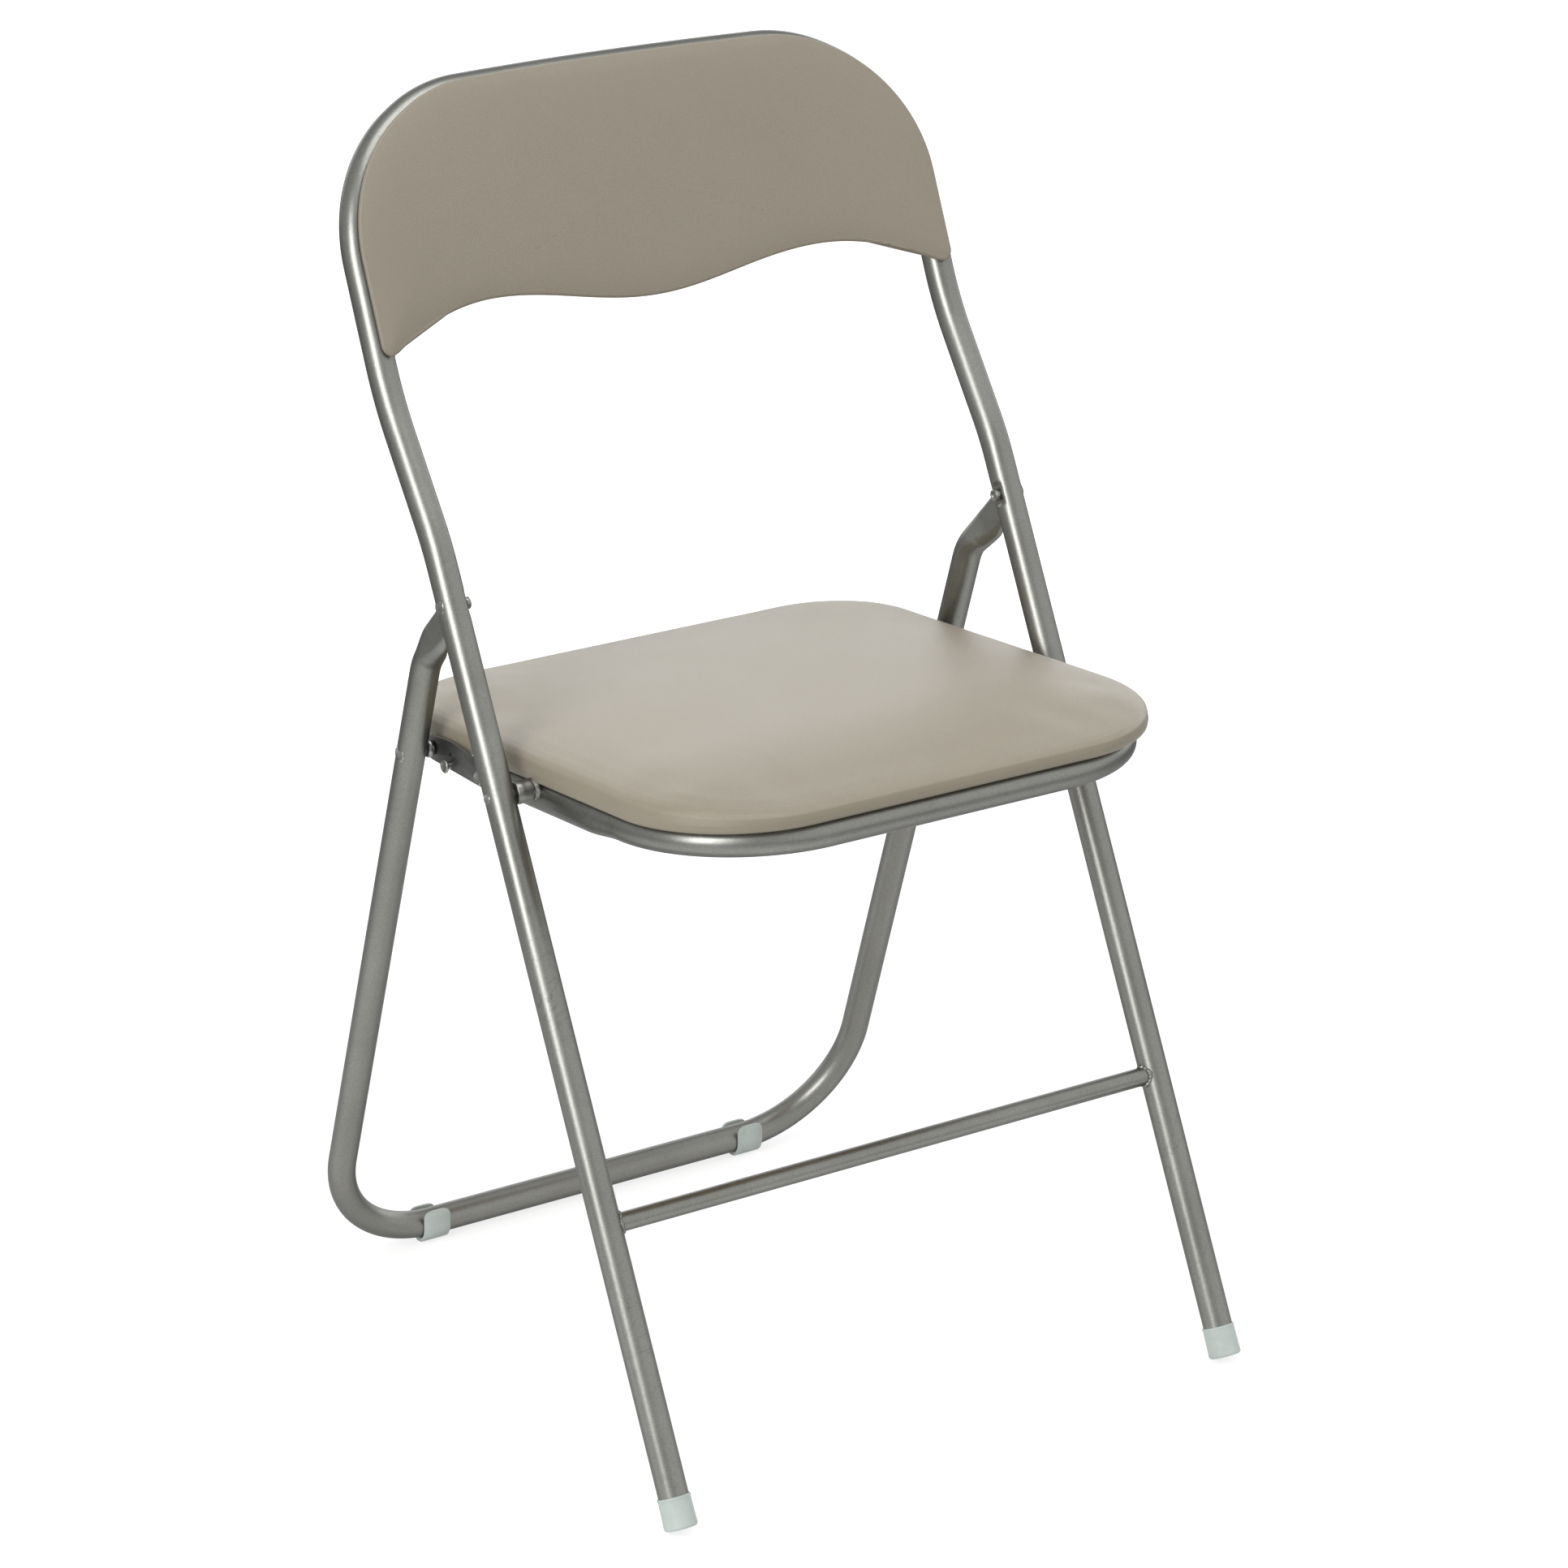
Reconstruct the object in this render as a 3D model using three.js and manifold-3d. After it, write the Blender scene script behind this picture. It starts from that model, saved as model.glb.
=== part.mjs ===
// Folding chair: bent-tube frame, padded seat and curved padded back.
// Millimetres, +Z up, the sitter faces -Y, the origin is on the floor under the middle.
import * as THREE from 'three';
import { ParametricGeometry } from 'three/addons/geometries/ParametricGeometry.js';
import { mergeVertices } from 'three/addons/utils/BufferGeometryUtils.js';
import Module from 'manifold-3d';

const wasm = await Module();
wasm.setup();

// ---- Front frame ----
const TUBE_R = 9.5;
const TUBE_WALL = 1;
const FRAME_HALF_W = 207.5;         // tube centre line to the middle of the chair
const FOOT_Y = -224.8;              // leg axis where it meets the floor
const LEG_LEAN = 26;                // degrees from upright, top to the rear
const LOWER_BEND_Z = 554;
const SHOULDER_LEAN = 35.2;
const UPPER_BEND_Z = 632;
const BACK_LEAN = 22.8;
const LOWER_BEND_R = 180;
const UPPER_BEND_R = 200;
const BACK_LENGTH = 182;            // upper bend to the top bar's axis, along the back
const BACK_CORNER_R = 93;
const BACK_BOW = 16;                // how far the back curves behind its uprights
const CROSSBAR_Z = 172.8;
const CROSSBAR_R = 6;
const CROSSBAR_WALL = 1;

// ---- Rear frame ----
const REAR_R = 9.3;
const REAR_WALL = 1;
const REAR_INSET = 3;               // rear legs inside the front legs' line
const REAR_RAIL_Y = 221.2;
const REAR_LEAN = 18.5;             // degrees from upright, top to the front
const REAR_CORNER_R = 80;
const ELBOW_Z = 473;
const ELBOW_R = 38;
const TONGUE_HALF_T = 1.2;          // pressed flat end that turns inside the front tube
const TONGUE_HALF_W = 12.4;
const TONGUE_DROP = 3.8;            // tongue's middle line below the pivot
const TONGUE_TIP_R = 8;
const TONGUE_FLAT = 30;             // pivot to the end of the full flat
const TONGUE_BLEND = 27;            // flat to round
const TIP_STEPS = [-0.95, -0.75, -0.4, 0];

// ---- Pivots ----
const TOP_PIVOT_Z = 520;            // rear frame on the front frame
const SEAT_PIVOT_Z = 413;           // seat on the front frame
const REAR_LINK_Z = 406.7;          // link on the rear frame
const SEAT_LINK_Y = 31.7;           // link on the seat tube
const SEAT_LINK_Z = 404;
const RIVET_R = 3;
const HEAD_R = 5.3;
const SEAT_HEAD_R = 3.9;
const LINK_HEAD_R = 4.7;
const HEAD_H = 2;
const HEAD_RIM = 0.35;              // share of a head's height that is its straight rim
const HEAD_FLAT = 0.62;             // radius and height shares where its dome flattens
const HEAD_FLAT_H = 0.85;
const TAIL_R = 3.9;
const TAIL_H = 0.8;
const SLOT_HALF_W = 1.7;            // slot in the leg for the tongue
const SLOT_ABOVE = 13;
const SLOT_BELOW = 64;
const NOTCH_HALF_W = 6;             // the slot's wider part, for the tongue's thick end
const NOTCH_FROM = 22;
const COLLAR_R = 6.5;
const SPACER_R = 6;
const SPACER_END_R = 4.8;
const WASHER_R = 5.4;
const WASHER_T = 1.7;

// ---- Links ----
const LINK_T = 2;
const LINK_FRONT_R = 7.1;
const LINK_REAR_R = 8;
const LINK_FRONT_RISE = 1.6;        // end arc's centre above the pivot
const LINK_ARCH_Z = 420.8;
const STOP_Y = 66.7;
const STOP_Z = 404;
const STOP_R = 2.4;
const STOP_HEAD_R = 4.5;
const STOP_HEAD_H = 3.4;
const STOP_CHAMFER = 0.6;
const STOP_FLAT_R = 3.1;

// ---- Seat ----
const SEAT_TILT = 4.3;              // degrees, rear edge low
const SEAT_Z = 416.5;               // cushion's underside above the origin
const SEAT_SIDE_ROOM = 12.8;        // between the front legs and the seat tube
const SEAT_INSET = 2.2;             // cushion's edge inside the seat tube's outer face
const SEAT_FRONT_Y = -208.2;
const SEAT_REAR_Y = 168;
const SEAT_FRONT_R = 83;
const SEAT_REAR_R = 64;
const SEAT_EDGE_H = 13.5;
const SEAT_CROWN = 8.5;
const SEAT_BULGE = 2.4;
const SEAT_EDGE_R = 5;              // rounding of the cushion's upper edge
const SEAT_SHOULDER = 2.5;          // where that rounding starts, below the edge
const SEAT_HEM = 2;                 // chamfer under the cushion
const CROWN_STEPS = [0.85, 0.6, 0.35, 0];
const SEAT_BOARD_T = 6;
const SEAT_BOARD_INSET = 2.8;
const COVER_T = 1;
const COVER_LIP = 16;
const SEAT_TUBE_R = 9.5;
const SEAT_TUBE_WALL = 1;
const SEAT_TUBE_INSET = 11.7;       // front tube's line inside the pressed sides' outer face
const SEAT_TUBE_FRONT = 8.5;        // tube's axis behind the cushion's front edge
const SEAT_TUBE_CORNER_R = 88;
const SEAT_PRESS_HALF_T = 5.5;
const SEAT_PRESS_HALF_W = 11.3;
const SEAT_PRESS_LENGTH = 34;       // round to pressed, behind the front corner
const SEAT_TUBE_TAIL = 11;          // tube behind the link's pivot

// ---- Back panel ----
const PANEL_OVERLAP = 3.5;          // panel past the tube's line at the sides
const PANEL_RISE = 4;               // and at the top
const PANEL_TIP = 29;
const PANEL_TIP_R = 8;
const PANEL_TIP_SWEEP = 80;         // degrees that the lower corner turns
const PANEL_TIP_LEAD = 4;           // wave's end before the lower corner
const PANEL_PEAK_X = 116;
const PANEL_PEAK = 48.8;
const PANEL_DIP = 34;
const PANEL_BOARD_T = 2.2;
const PANEL_BOARD_INSET = 0.8;
const PANEL_FRONT = 14.2;           // pad's front edge ahead of the tube's axis
const PANEL_CROWN = 3;
const PANEL_EDGE_R = 2;             // rounding of the pad's edge
const PANEL_EDGE_RISE = 0.6;
const BOARD_STEPS = [0, 0.35, 0.7, 1];
const PAD_STEPS = [0, 0.35, 0.65, 0.9];
const TAB_T = 1.5;
const TAB_W = 18;
const TAB_REACH = 17;
const SIDE_TAB_DROP = 15;           // side tab's middle below the top corner
const TOP_TAB_X = 66;

// ---- Feet and screws ----
const CAP_R = 10.5;
const CAP_LENGTH = 20;
const CAP_FLOOR = 3;
const CAP_EDGE_R = 1.2;
const CAP_CLEARANCE = 0.2;
const CLIP_OUTSET = 1.5;            // clip's middle past the straight rail
const CLIP_LENGTH = 20;
const CLIP_WALL = 1.7;
const CLIP_FLOOR = 3.2;
const CLIP_HEIGHT = 25;
const CLIP_CORNER_R = 5;
const SCREW_R = 1.8;
const SCREW_HEAD_R = 3.8;
const SCREW_HEAD_H = 2;
const SCREW_FLAT_R = 2.3;
const SCREW_RIM_H = 0.8;
const SCREW_COVERED = 1.5;          // board left over the end of a seat screw
const BACK_SCREW_COVERED = 0.4;
const FRONT_SCREW_X = 80;
const SIDE_SCREW_Y = 4;
const SIDE_SCREW_INSET = 7.6;       // inside the seat tube's outer face

// ---- Clearances and mesh detail ----
const GAP = 0.3;
const RUN_GAP = 0.1;
const CUT = 1;                      // how far a cutter runs past what it cuts
const ARC_SAG = 0.3;                // where a quarter round's middle point lies
const TUBE_SIDES = 14;
const BORE_SIDES = 14;              // enough that a turning shaft stays clear of the flats
const RIVET_SIDES = 10;
const SCREW_SIDES = 8;

// ---- Places worked out from the dimensions ----
const rad = THREE.MathUtils.degToRad;
const v3 = (x = 0, y = 0, z = 0) => new THREE.Vector3(x, y, z);
const X_AXIS = v3(1, 0, 0);
const legUp = v3(0, Math.sin(rad(LEG_LEAN)), Math.cos(rad(LEG_LEAN)));
const legY = (z) => FOOT_Y + Math.tan(rad(LEG_LEAN)) * z;
const lowerBend = v3(0, legY(LOWER_BEND_Z), LOWER_BEND_Z);
const shoulderRun = Math.tan(rad(SHOULDER_LEAN)) * (UPPER_BEND_Z - LOWER_BEND_Z);
const upperBend = v3(0, lowerBend.y + shoulderRun, UPPER_BEND_Z);
const backUp = v3(0, Math.sin(rad(BACK_LEAN)), Math.cos(rad(BACK_LEAN)));
const backFront = v3(0, -Math.cos(rad(BACK_LEAN)), Math.sin(rad(BACK_LEAN)));
const railZ = CLIP_FLOOR + GAP + REAR_R;
const rearY = (z) => REAR_RAIL_Y - Math.tan(rad(REAR_LEAN)) * (z - railZ);
const rearUp = v3(0, -Math.sin(rad(REAR_LEAN)), Math.cos(rad(REAR_LEAN)));
const railCorner = v3(0, REAR_RAIL_Y, railZ);
const elbow = v3(0, rearY(ELBOW_Z), ELBOW_Z);
const topPivot = v3(0, legY(TOP_PIVOT_Z), TOP_PIVOT_Z);
const seatPivot = v3(0, legY(SEAT_PIVOT_Z), SEAT_PIVOT_Z);
const rearLink = v3(0, rearY(REAR_LINK_Z), REAR_LINK_Z);
const seatLink = v3(0, SEAT_LINK_Y, SEAT_LINK_Z);
const stopPoint = v3(0, STOP_Y, STOP_Z);
const seatUp = v3(0, Math.sin(rad(SEAT_TILT)), Math.cos(rad(SEAT_TILT)));
const seatBack = v3(0, Math.cos(rad(SEAT_TILT)), -Math.sin(rad(SEAT_TILT)));
const seatOrigin = v3(0, 0, SEAT_Z);
const frameOut = FRAME_HALF_W + TUBE_R;
const frameIn = FRAME_HALF_W - TUBE_R;
const rearHalfW = FRAME_HALF_W - REAR_INSET;
const rearOut = rearHalfW + REAR_R;
const rearIn = rearHalfW - REAR_R;
const seatOut = frameIn - SEAT_SIDE_ROOM;
const seatIn = seatOut - 2 * SEAT_PRESS_HALF_T;
const seatHalfW = seatOut - SEAT_INSET;
const panelHalfW = FRAME_HALF_W + PANEL_OVERLAP;
const panelTop = BACK_LENGTH + PANEL_RISE;
const panelCornerR = BACK_CORNER_R + PANEL_RISE;
const panelTipX = panelHalfW - PANEL_TIP_R;
const washerOut = seatOut + GAP + WASHER_T;
const linkIn = washerOut + GAP;
const linkOut = linkIn + LINK_T;

/** A point on the back: x across, s up along the uprights, n in front of their plane. */
function backPoint(x, s, n = 0) {
  const bow = BACK_BOW * (1 - (x / FRAME_HALF_W) ** 2);
  return upperBend.clone().addScaledVector(backUp, s).addScaledVector(backFront, n - bow).setX(x);
}

/** The direction the back panel faces at a distance x from the middle. */
function backNormal(x) {
  return backFront.clone().setX((-2 * BACK_BOW * x) / FRAME_HALF_W ** 2).normalize();
}

/** A point on the seat: x across, y along the seat, h above the cushion's underside. */
function seatPoint(x, y, h = 0) {
  return seatOrigin.clone().addScaledVector(seatBack, y).addScaledVector(seatUp, h).setX(x);
}

const atX = (point, x) => point.clone().setX(x);
const alongSeat = (point) => point.clone().sub(seatOrigin).dot(seatBack);

// ---- Curves ----
/** Arc that rounds the corner b of the path a, b, c. */
function fillet(a, b, c, radius, chords) {
  const u = a.clone().sub(b).normalize();
  const w = c.clone().sub(b).normalize();
  const half = u.angleTo(w) / 2;
  const centre = u.clone().add(w).normalize().multiplyScalar(radius / Math.sin(half)).add(b);
  const first = u.clone().multiplyScalar(radius / Math.tan(half)).add(b).sub(centre);
  const axis = new THREE.Vector3().crossVectors(w, u).normalize();
  const turn = Math.PI - 2 * half;
  const last = w.clone().multiplyScalar(radius / Math.tan(half)).add(b).sub(centre);
  const sign = first.clone().applyAxisAngle(axis, turn).distanceTo(last) < radius * 1e-6 ? 1 : -1;
  const point = (i) => first.clone().applyAxisAngle(axis, (sign * turn * i) / chords).add(centre);
  return Array.from({ length: chords + 1 }, (_, i) => point(i));
}

/** Points of a plane arc from angle a to angle b in degrees, both ends included. */
function arc(cx, cy, radius, a, b, chords) {
  return Array.from({ length: chords + 1 }, (_, i) => {
    const t = rad(a + ((b - a) * i) / chords);
    return new THREE.Vector2(cx + radius * Math.cos(t), cy + radius * Math.sin(t));
  });
}

/** Points between a and b, neither end included. */
function between(a, b, count) {
  return Array.from({ length: count }, (_, i) => a.clone().lerp(b, (i + 1) / (count + 1)));
}

// ---- Solids ----
/** Closed geometry through rows of points; each row is a ring. */
function rings(rows) {
  const around = rows[0].length;
  const last = rows.length - 1;
  const place = (u, v, target) => {
    const row = rows[Math.round(v * last)];
    target.copy(row[Math.round(u * around) % around]);
  };
  return tidy(new ParametricGeometry(place, around, last));
}

/** Position-only copy with shared corners, no empty triangles and faces outwards. */
function tidy(geometry) {
  const bare = new THREE.BufferGeometry();
  bare.setAttribute('position', geometry.getAttribute('position').clone());
  bare.setIndex(geometry.getIndex());
  const joined = mergeVertices(bare, 1e-3);
  const old = joined.getIndex().array;
  const kept = [];
  for (let i = 0; i < old.length; i += 3) {
    const [a, b, c] = [old[i], old[i + 1], old[i + 2]];
    if (a !== b && b !== c && c !== a) kept.push(a, b, c);
  }
  const inward = signedVolume(joined.getAttribute('position'), kept) < 0;
  joined.setIndex(inward ? kept.reverse() : kept);
  return joined;
}

function signedVolume(position, index) {
  const [a, b, c] = [v3(), v3(), v3()];
  let total = 0;
  for (let i = 0; i < index.length; i += 3) {
    a.fromBufferAttribute(position, index[i]);
    b.fromBufferAttribute(position, index[i + 1]);
    c.fromBufferAttribute(position, index[i + 2]);
    total += a.dot(b.cross(c)) / 6;
  }
  return total;
}

/** The geometry as a manifold solid, for cutting. */
function solid(geometry) {
  const bare = tidy(geometry);
  return new wasm.Manifold(new wasm.Mesh({
    numProp: 3,
    vertProperties: new Float32Array(bare.getAttribute('position').array),
    triVerts: new Uint32Array(bare.getIndex().array),
  }));
}

function geometryOf(manifold) {
  const mesh = manifold.getMesh();
  const geometry = new THREE.BufferGeometry();
  const corners = new Float32Array(mesh.vertProperties);
  geometry.setAttribute('position', new THREE.BufferAttribute(corners, 3));
  geometry.setIndex(Array.from(mesh.triVerts));
  return geometry;
}

function cut(body, cutters) {
  const left = cutters.reduce((rest, cutter) => rest.subtract(solid(cutter)), solid(body));
  return geometryOf(left);
}

/** A cylinder between two points. */
function rod(from, to, radius, sides = BORE_SIDES) {
  const along = to.clone().sub(from);
  const geometry = new THREE.CylinderGeometry(radius, radius, along.length(), sides);
  const turn = new THREE.Quaternion().setFromUnitVectors(v3(0, 1, 0), along.normalize());
  const middle = from.clone().add(to).multiplyScalar(0.5);
  return geometry.applyQuaternion(turn).translate(middle.x, middle.y, middle.z);
}

/** A lathe profile of [radius, height] turned about an axis through a point. */
function turned(profile, point, direction, sides = RIVET_SIDES) {
  const corners = profile.map(([r, h]) => new THREE.Vector2(r, h));
  const geometry = new THREE.LatheGeometry(corners, sides);
  const turn = new THREE.Quaternion().setFromUnitVectors(v3(0, 1, 0), direction);
  return tidy(geometry.applyQuaternion(turn).translate(point.x, point.y, point.z));
}

/** Ring with two flat sides; it is round where both half sizes are equal. */
function ovalRing({ point, halfT, halfW, across, up }, inset) {
  const a = Math.max(halfT - inset, 0.2);
  const b = Math.max(halfW - inset, a);
  return Array.from({ length: TUBE_SIDES }, (_, k) => {
    const t = ((k + 0.5) * 2 * Math.PI) / TUBE_SIDES;
    const rise = a * Math.sin(t) + Math.sign(Math.sin(t)) * (b - a);
    return point.clone().addScaledVector(across, a * Math.cos(t)).addScaledVector(up, rise);
  });
}

/** Gives each station its cross directions, carried along the path from the X axis. */
function orient(stations) {
  let across = X_AXIS.clone();
  return stations.map((station, i) => {
    const before = stations[Math.max(i - 1, 0)].point;
    const after = stations[Math.min(i + 1, stations.length - 1)].point;
    const arriving = station.point.clone().sub(before).normalize();
    const leaving = after.clone().sub(station.point).normalize();
    const tangent = arriving.add(leaving).normalize();
    across = across.clone().addScaledVector(tangent, -across.dot(tangent)).normalize();
    return { ...station, across, up: new THREE.Vector3().crossVectors(tangent, across) };
  });
}

function hollowTube(stations, wall) {
  const path = orient(stations);
  const outside = path.map((station) => ovalRing(station, 0));
  const inside = path.map((station) => ovalRing(station, wall)).reverse();
  return rings([...outside, ...inside, outside[0]]);
}

const roundAt = (radius) => (point) => ({ point, halfT: radius, halfW: radius });

/** Stations of a path that is mirrored about the middle of the chair. */
function mirrored(half, middle) {
  const flip = (station) => ({ ...station, point: atX(station.point, -station.point.x) });
  return [...half, ...middle, ...half.map(flip).reverse()];
}

/** A flat shape drawn in side view (Y, Z), made thick along X from x outwards. */
function sidePlate(shape, from, to) {
  const depth = to - from;
  const geometry = new THREE.ExtrudeGeometry(shape, { depth, bevelEnabled: false, curveSegments: 6 });
  geometry.applyMatrix4(new THREE.Matrix4().makeBasis(v3(0, 1, 0), v3(0, 0, 1), X_AXIS));
  return geometry.translate(from, 0, 0);
}

/** Rivet across X on one side of the chair: a domed head outside, a small one inside. */
function rivet(point, side, outer, inner, headR, tailR) {
  const profile = [
    [0, inner - GAP - TAIL_H],
    [tailR, inner - GAP - TAIL_H],
    [tailR, inner - GAP],
    [RIVET_R, inner - GAP],
    [RIVET_R, outer + GAP],
    [headR, outer + GAP],
    [headR, outer + GAP + HEAD_H * HEAD_RIM],
    [headR * HEAD_FLAT, outer + GAP + HEAD_H * HEAD_FLAT_H],
    [0, outer + GAP + HEAD_H],
  ];
  return turned(profile, point, v3(side, 0, 0));
}

/** A ring across X on one side of the chair, from one distance out to another. */
function ringAcross(point, side, from, to, endR, middleR) {
  const bore = RIVET_R + RUN_GAP;
  const middle = (from + to) / 2;
  const profile = [[bore, from], [endR, from], [middleR, middle], [endR, to], [bore, to], [bore, from]];
  return turned(profile, point, v3(side, 0, 0), BORE_SIDES);
}

const rivetHole = (point, side, from, to) => (
  rod(atX(point, side * from), atX(point, side * to), RIVET_R + RUN_GAP));

// ---- Front frame ----
function frontStations() {
  const start = capBottom.clone().addScaledVector(legUp, CAP_FLOOR + GAP);
  const backStart = upperBend.clone().addScaledVector(backUp, 1);
  const leg = [
    start,
    ...fillet(start, lowerBend, upperBend, LOWER_BEND_R, 2),
    ...fillet(lowerBend, upperBend, backStart, UPPER_BEND_R, 3),
  ].map((point) => atX(point, FRAME_HALF_W));
  const barEnd = FRAME_HALF_W - BACK_CORNER_R;
  const corner = arc(barEnd, BACK_LENGTH - BACK_CORNER_R, BACK_CORNER_R, 0, 90, 8);
  const bar = [2 / 3, 1 / 3].map((share) => backPoint(share * barEnd, BACK_LENGTH));
  const half = [...leg, ...corner.map((p) => backPoint(p.x, p.y)), ...bar];
  return mirrored(half.map(roundAt(TUBE_R)), [roundAt(TUBE_R)(backPoint(0, BACK_LENGTH))]);
}

/** Cutter for the rear of a leg, between two distances from the top pivot along the leg. */
function rearSlot(x, halfW, low, high) {
  const foot = topPivot.clone().addScaledVector(legUp, low);
  const depth = TUBE_R + CUT;
  const slot = new THREE.BoxGeometry(2 * halfW, depth, high - low);
  slot.translate(0, depth / 2, (high - low) / 2).rotateX(-rad(LEG_LEAN));
  return slot.translate(x, foot.y, foot.z);
}

function frontFrame() {
  const near = frameIn - CUT;
  const far = frameOut + CUT;
  const cutters = [-1, 1].flatMap((side) => [
    rearSlot(side * FRAME_HALF_W, SLOT_HALF_W, -NOTCH_FROM, SLOT_ABOVE),
    rearSlot(side * FRAME_HALF_W, NOTCH_HALF_W, -SLOT_BELOW, -NOTCH_FROM),
    rivetHole(topPivot, side, near, far),
    rivetHole(seatPivot, side, near, far),
  ]);
  return cut(hollowTube(frontStations(), TUBE_WALL), cutters);
}

/** Round tube welded between the front legs, its ends shaped to them. */
function crossbar() {
  const centre = v3(0, legY(CROSSBAR_Z), CROSSBAR_Z);
  const bar = rod(atX(centre, -FRAME_HALF_W), atX(centre, FRAME_HALF_W), CROSSBAR_R, TUBE_SIDES);
  const past = FRAME_HALF_W + CUT;
  const bore = rod(atX(centre, -past), atX(centre, past), CROSSBAR_R - CROSSBAR_WALL, TUBE_SIDES);
  const legs = [-1, 1].map((side) => {
    const at = atX(centre, side * FRAME_HALF_W);
    const reach = 3 * CROSSBAR_R;
    const low = at.clone().addScaledVector(legUp, -reach);
    return rod(low, at.addScaledVector(legUp, reach), TUBE_R + GAP, 2 * TUBE_SIDES);
  });
  return cut(bar, [bore, ...legs]);
}

const capProfile = [
  [0, 0],
  [CAP_R - CAP_EDGE_R, 0],
  [CAP_R - CAP_EDGE_R * ARC_SAG, CAP_EDGE_R * ARC_SAG],
  [CAP_R, CAP_EDGE_R],
  [CAP_R, CAP_LENGTH],
  [TUBE_R + CAP_CLEARANCE, CAP_LENGTH],
  [TUBE_R + CAP_CLEARANCE, CAP_FLOOR],
  [0, CAP_FLOOR],
];
// The cap's end stands square to the leg, so that its rear edge is what meets the floor.
const capBottomZ = Math.max(...capProfile.map(([r, h]) => r * legUp.y - h * legUp.z));
const capBottom = v3(0, legY(capBottomZ), capBottomZ);

const footCap = (side) => (
  turned(capProfile, atX(capBottom, side * FRAME_HALF_W), legUp, 2 * RIVET_SIDES));

// ---- Rear frame ----
/** Stations of the pressed end: its round tip, then the flat, which sags below the pivot. */
function tongueStations() {
  const along = elbow.clone().sub(topPivot);
  const droop = Math.asin(TONGUE_DROP / along.length());
  along.normalize().applyAxisAngle(X_AXIS, droop);
  const below = new THREE.Vector3().crossVectors(along, X_AXIS);
  const axisAt = (d) => {
    const share = THREE.MathUtils.clamp(d / TONGUE_FLAT, 0, 1);
    const point = topPivot.clone().addScaledVector(along, d);
    return atX(point.addScaledVector(below, TONGUE_DROP * share), FRAME_HALF_W);
  };
  const tip = TIP_STEPS.map((share) => ({
    point: axisAt(share * TONGUE_TIP_R),
    halfT: TONGUE_HALF_T,
    halfW: TONGUE_TIP_R * Math.sqrt(1 - share ** 2),
  }));
  return [...tip, { point: axisAt(TONGUE_FLAT), halfT: TONGUE_HALF_T, halfW: TONGUE_HALF_W }];
}

function rearHalf(radius) {
  const tongue = tongueStations();
  const flatEnd = atX(tongue[tongue.length - 1].point, 0);
  const bend = fillet(flatEnd, elbow, railCorner, ELBOW_R, 3);
  const leg = [...between(flatEnd, bend[0], 2), ...bend].map((point) => {
    const share = THREE.MathUtils.smoothstep(flatEnd.distanceTo(point), 0, TONGUE_BLEND);
    return {
      point: atX(point, THREE.MathUtils.lerp(FRAME_HALF_W, rearHalfW, share)),
      halfT: THREE.MathUtils.lerp(TONGUE_HALF_T, radius, share),
      halfW: THREE.MathUtils.lerp(TONGUE_HALF_W, radius, share),
    };
  });
  return [...tongue, ...leg];
}

/** Stations of one lower corner, from the leg to the floor rail. */
function rearCorner(radius) {
  const middle = rearHalfW - REAR_CORNER_R;
  return arc(middle, REAR_CORNER_R, REAR_CORNER_R, 0, -90, 8)
    .map((p) => atX(railCorner.clone().addScaledVector(rearUp, p.y), p.x))
    .map(roundAt(radius));
}

function rearFrame() {
  const half = [...rearHalf(REAR_R), ...rearCorner(REAR_R)];
  const near = rearIn - CUT;
  const far = frameOut + CUT;
  const cutters = [-1, 1].flatMap((side) => [
    rivetHole(topPivot, side, near, far),
    rivetHole(rearLink, side, near, far),
  ]);
  return cut(hollowTube(mirrored(half, []), REAR_WALL), cutters);
}

const clipX = rearHalfW - REAR_CORNER_R + CLIP_OUTSET;

/** Saddle under the floor rail: a channel along X whose lobes are rounded. */
function railClip(side) {
  const half = REAR_R + GAP + CLIP_WALL;
  const block = new THREE.BoxGeometry(CLIP_LENGTH, 2 * half, CLIP_HEIGHT);
  block.translate(side * clipX, REAR_RAIL_Y, CLIP_HEIGHT / 2);
  const face = new THREE.Shape();
  const x0 = side * clipX - CLIP_LENGTH / 2;
  const x1 = x0 + CLIP_LENGTH;
  const shoulder = CLIP_HEIGHT - CLIP_CORNER_R;
  face.moveTo(x0, 0).lineTo(x1, 0).lineTo(x1, shoulder);
  face.absarc(x1 - CLIP_CORNER_R, shoulder, CLIP_CORNER_R, 0, Math.PI / 2, false);
  face.absarc(x0 + CLIP_CORNER_R, shoulder, CLIP_CORNER_R, Math.PI / 2, Math.PI, false);
  face.closePath();
  const lobes = new THREE.ExtrudeGeometry(face, { depth: 4 * half, bevelEnabled: false, curveSegments: 4 });
  lobes.rotateX(Math.PI / 2).translate(0, REAR_RAIL_Y + 2 * half, 0);
  const top = new THREE.BoxGeometry(2 * CLIP_LENGTH, 2 * (REAR_R + GAP), CLIP_HEIGHT);
  top.translate(side * clipX, REAR_RAIL_Y, railZ + CLIP_HEIGHT / 2);
  const saddle = solid(block).intersect(solid(lobes)).subtract(solid(top));
  return geometryOf(saddle.subtract(railEnvelope(side)));
}

/** The rail and its corner, grown by the gap. */
function railEnvelope(side) {
  const path = [...rearCorner(0).map(({ point }) => point), railCorner];
  const stations = orient(path.map((point) => roundAt(REAR_R + GAP)(atX(point, side * point.x))));
  const rows = stations.map((station) => ovalRing(station, 0));
  const end = (index) => rows[index].map(() => stations[index].point);
  return solid(rings([end(0), ...rows, end(rows.length - 1)]));
}

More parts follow.
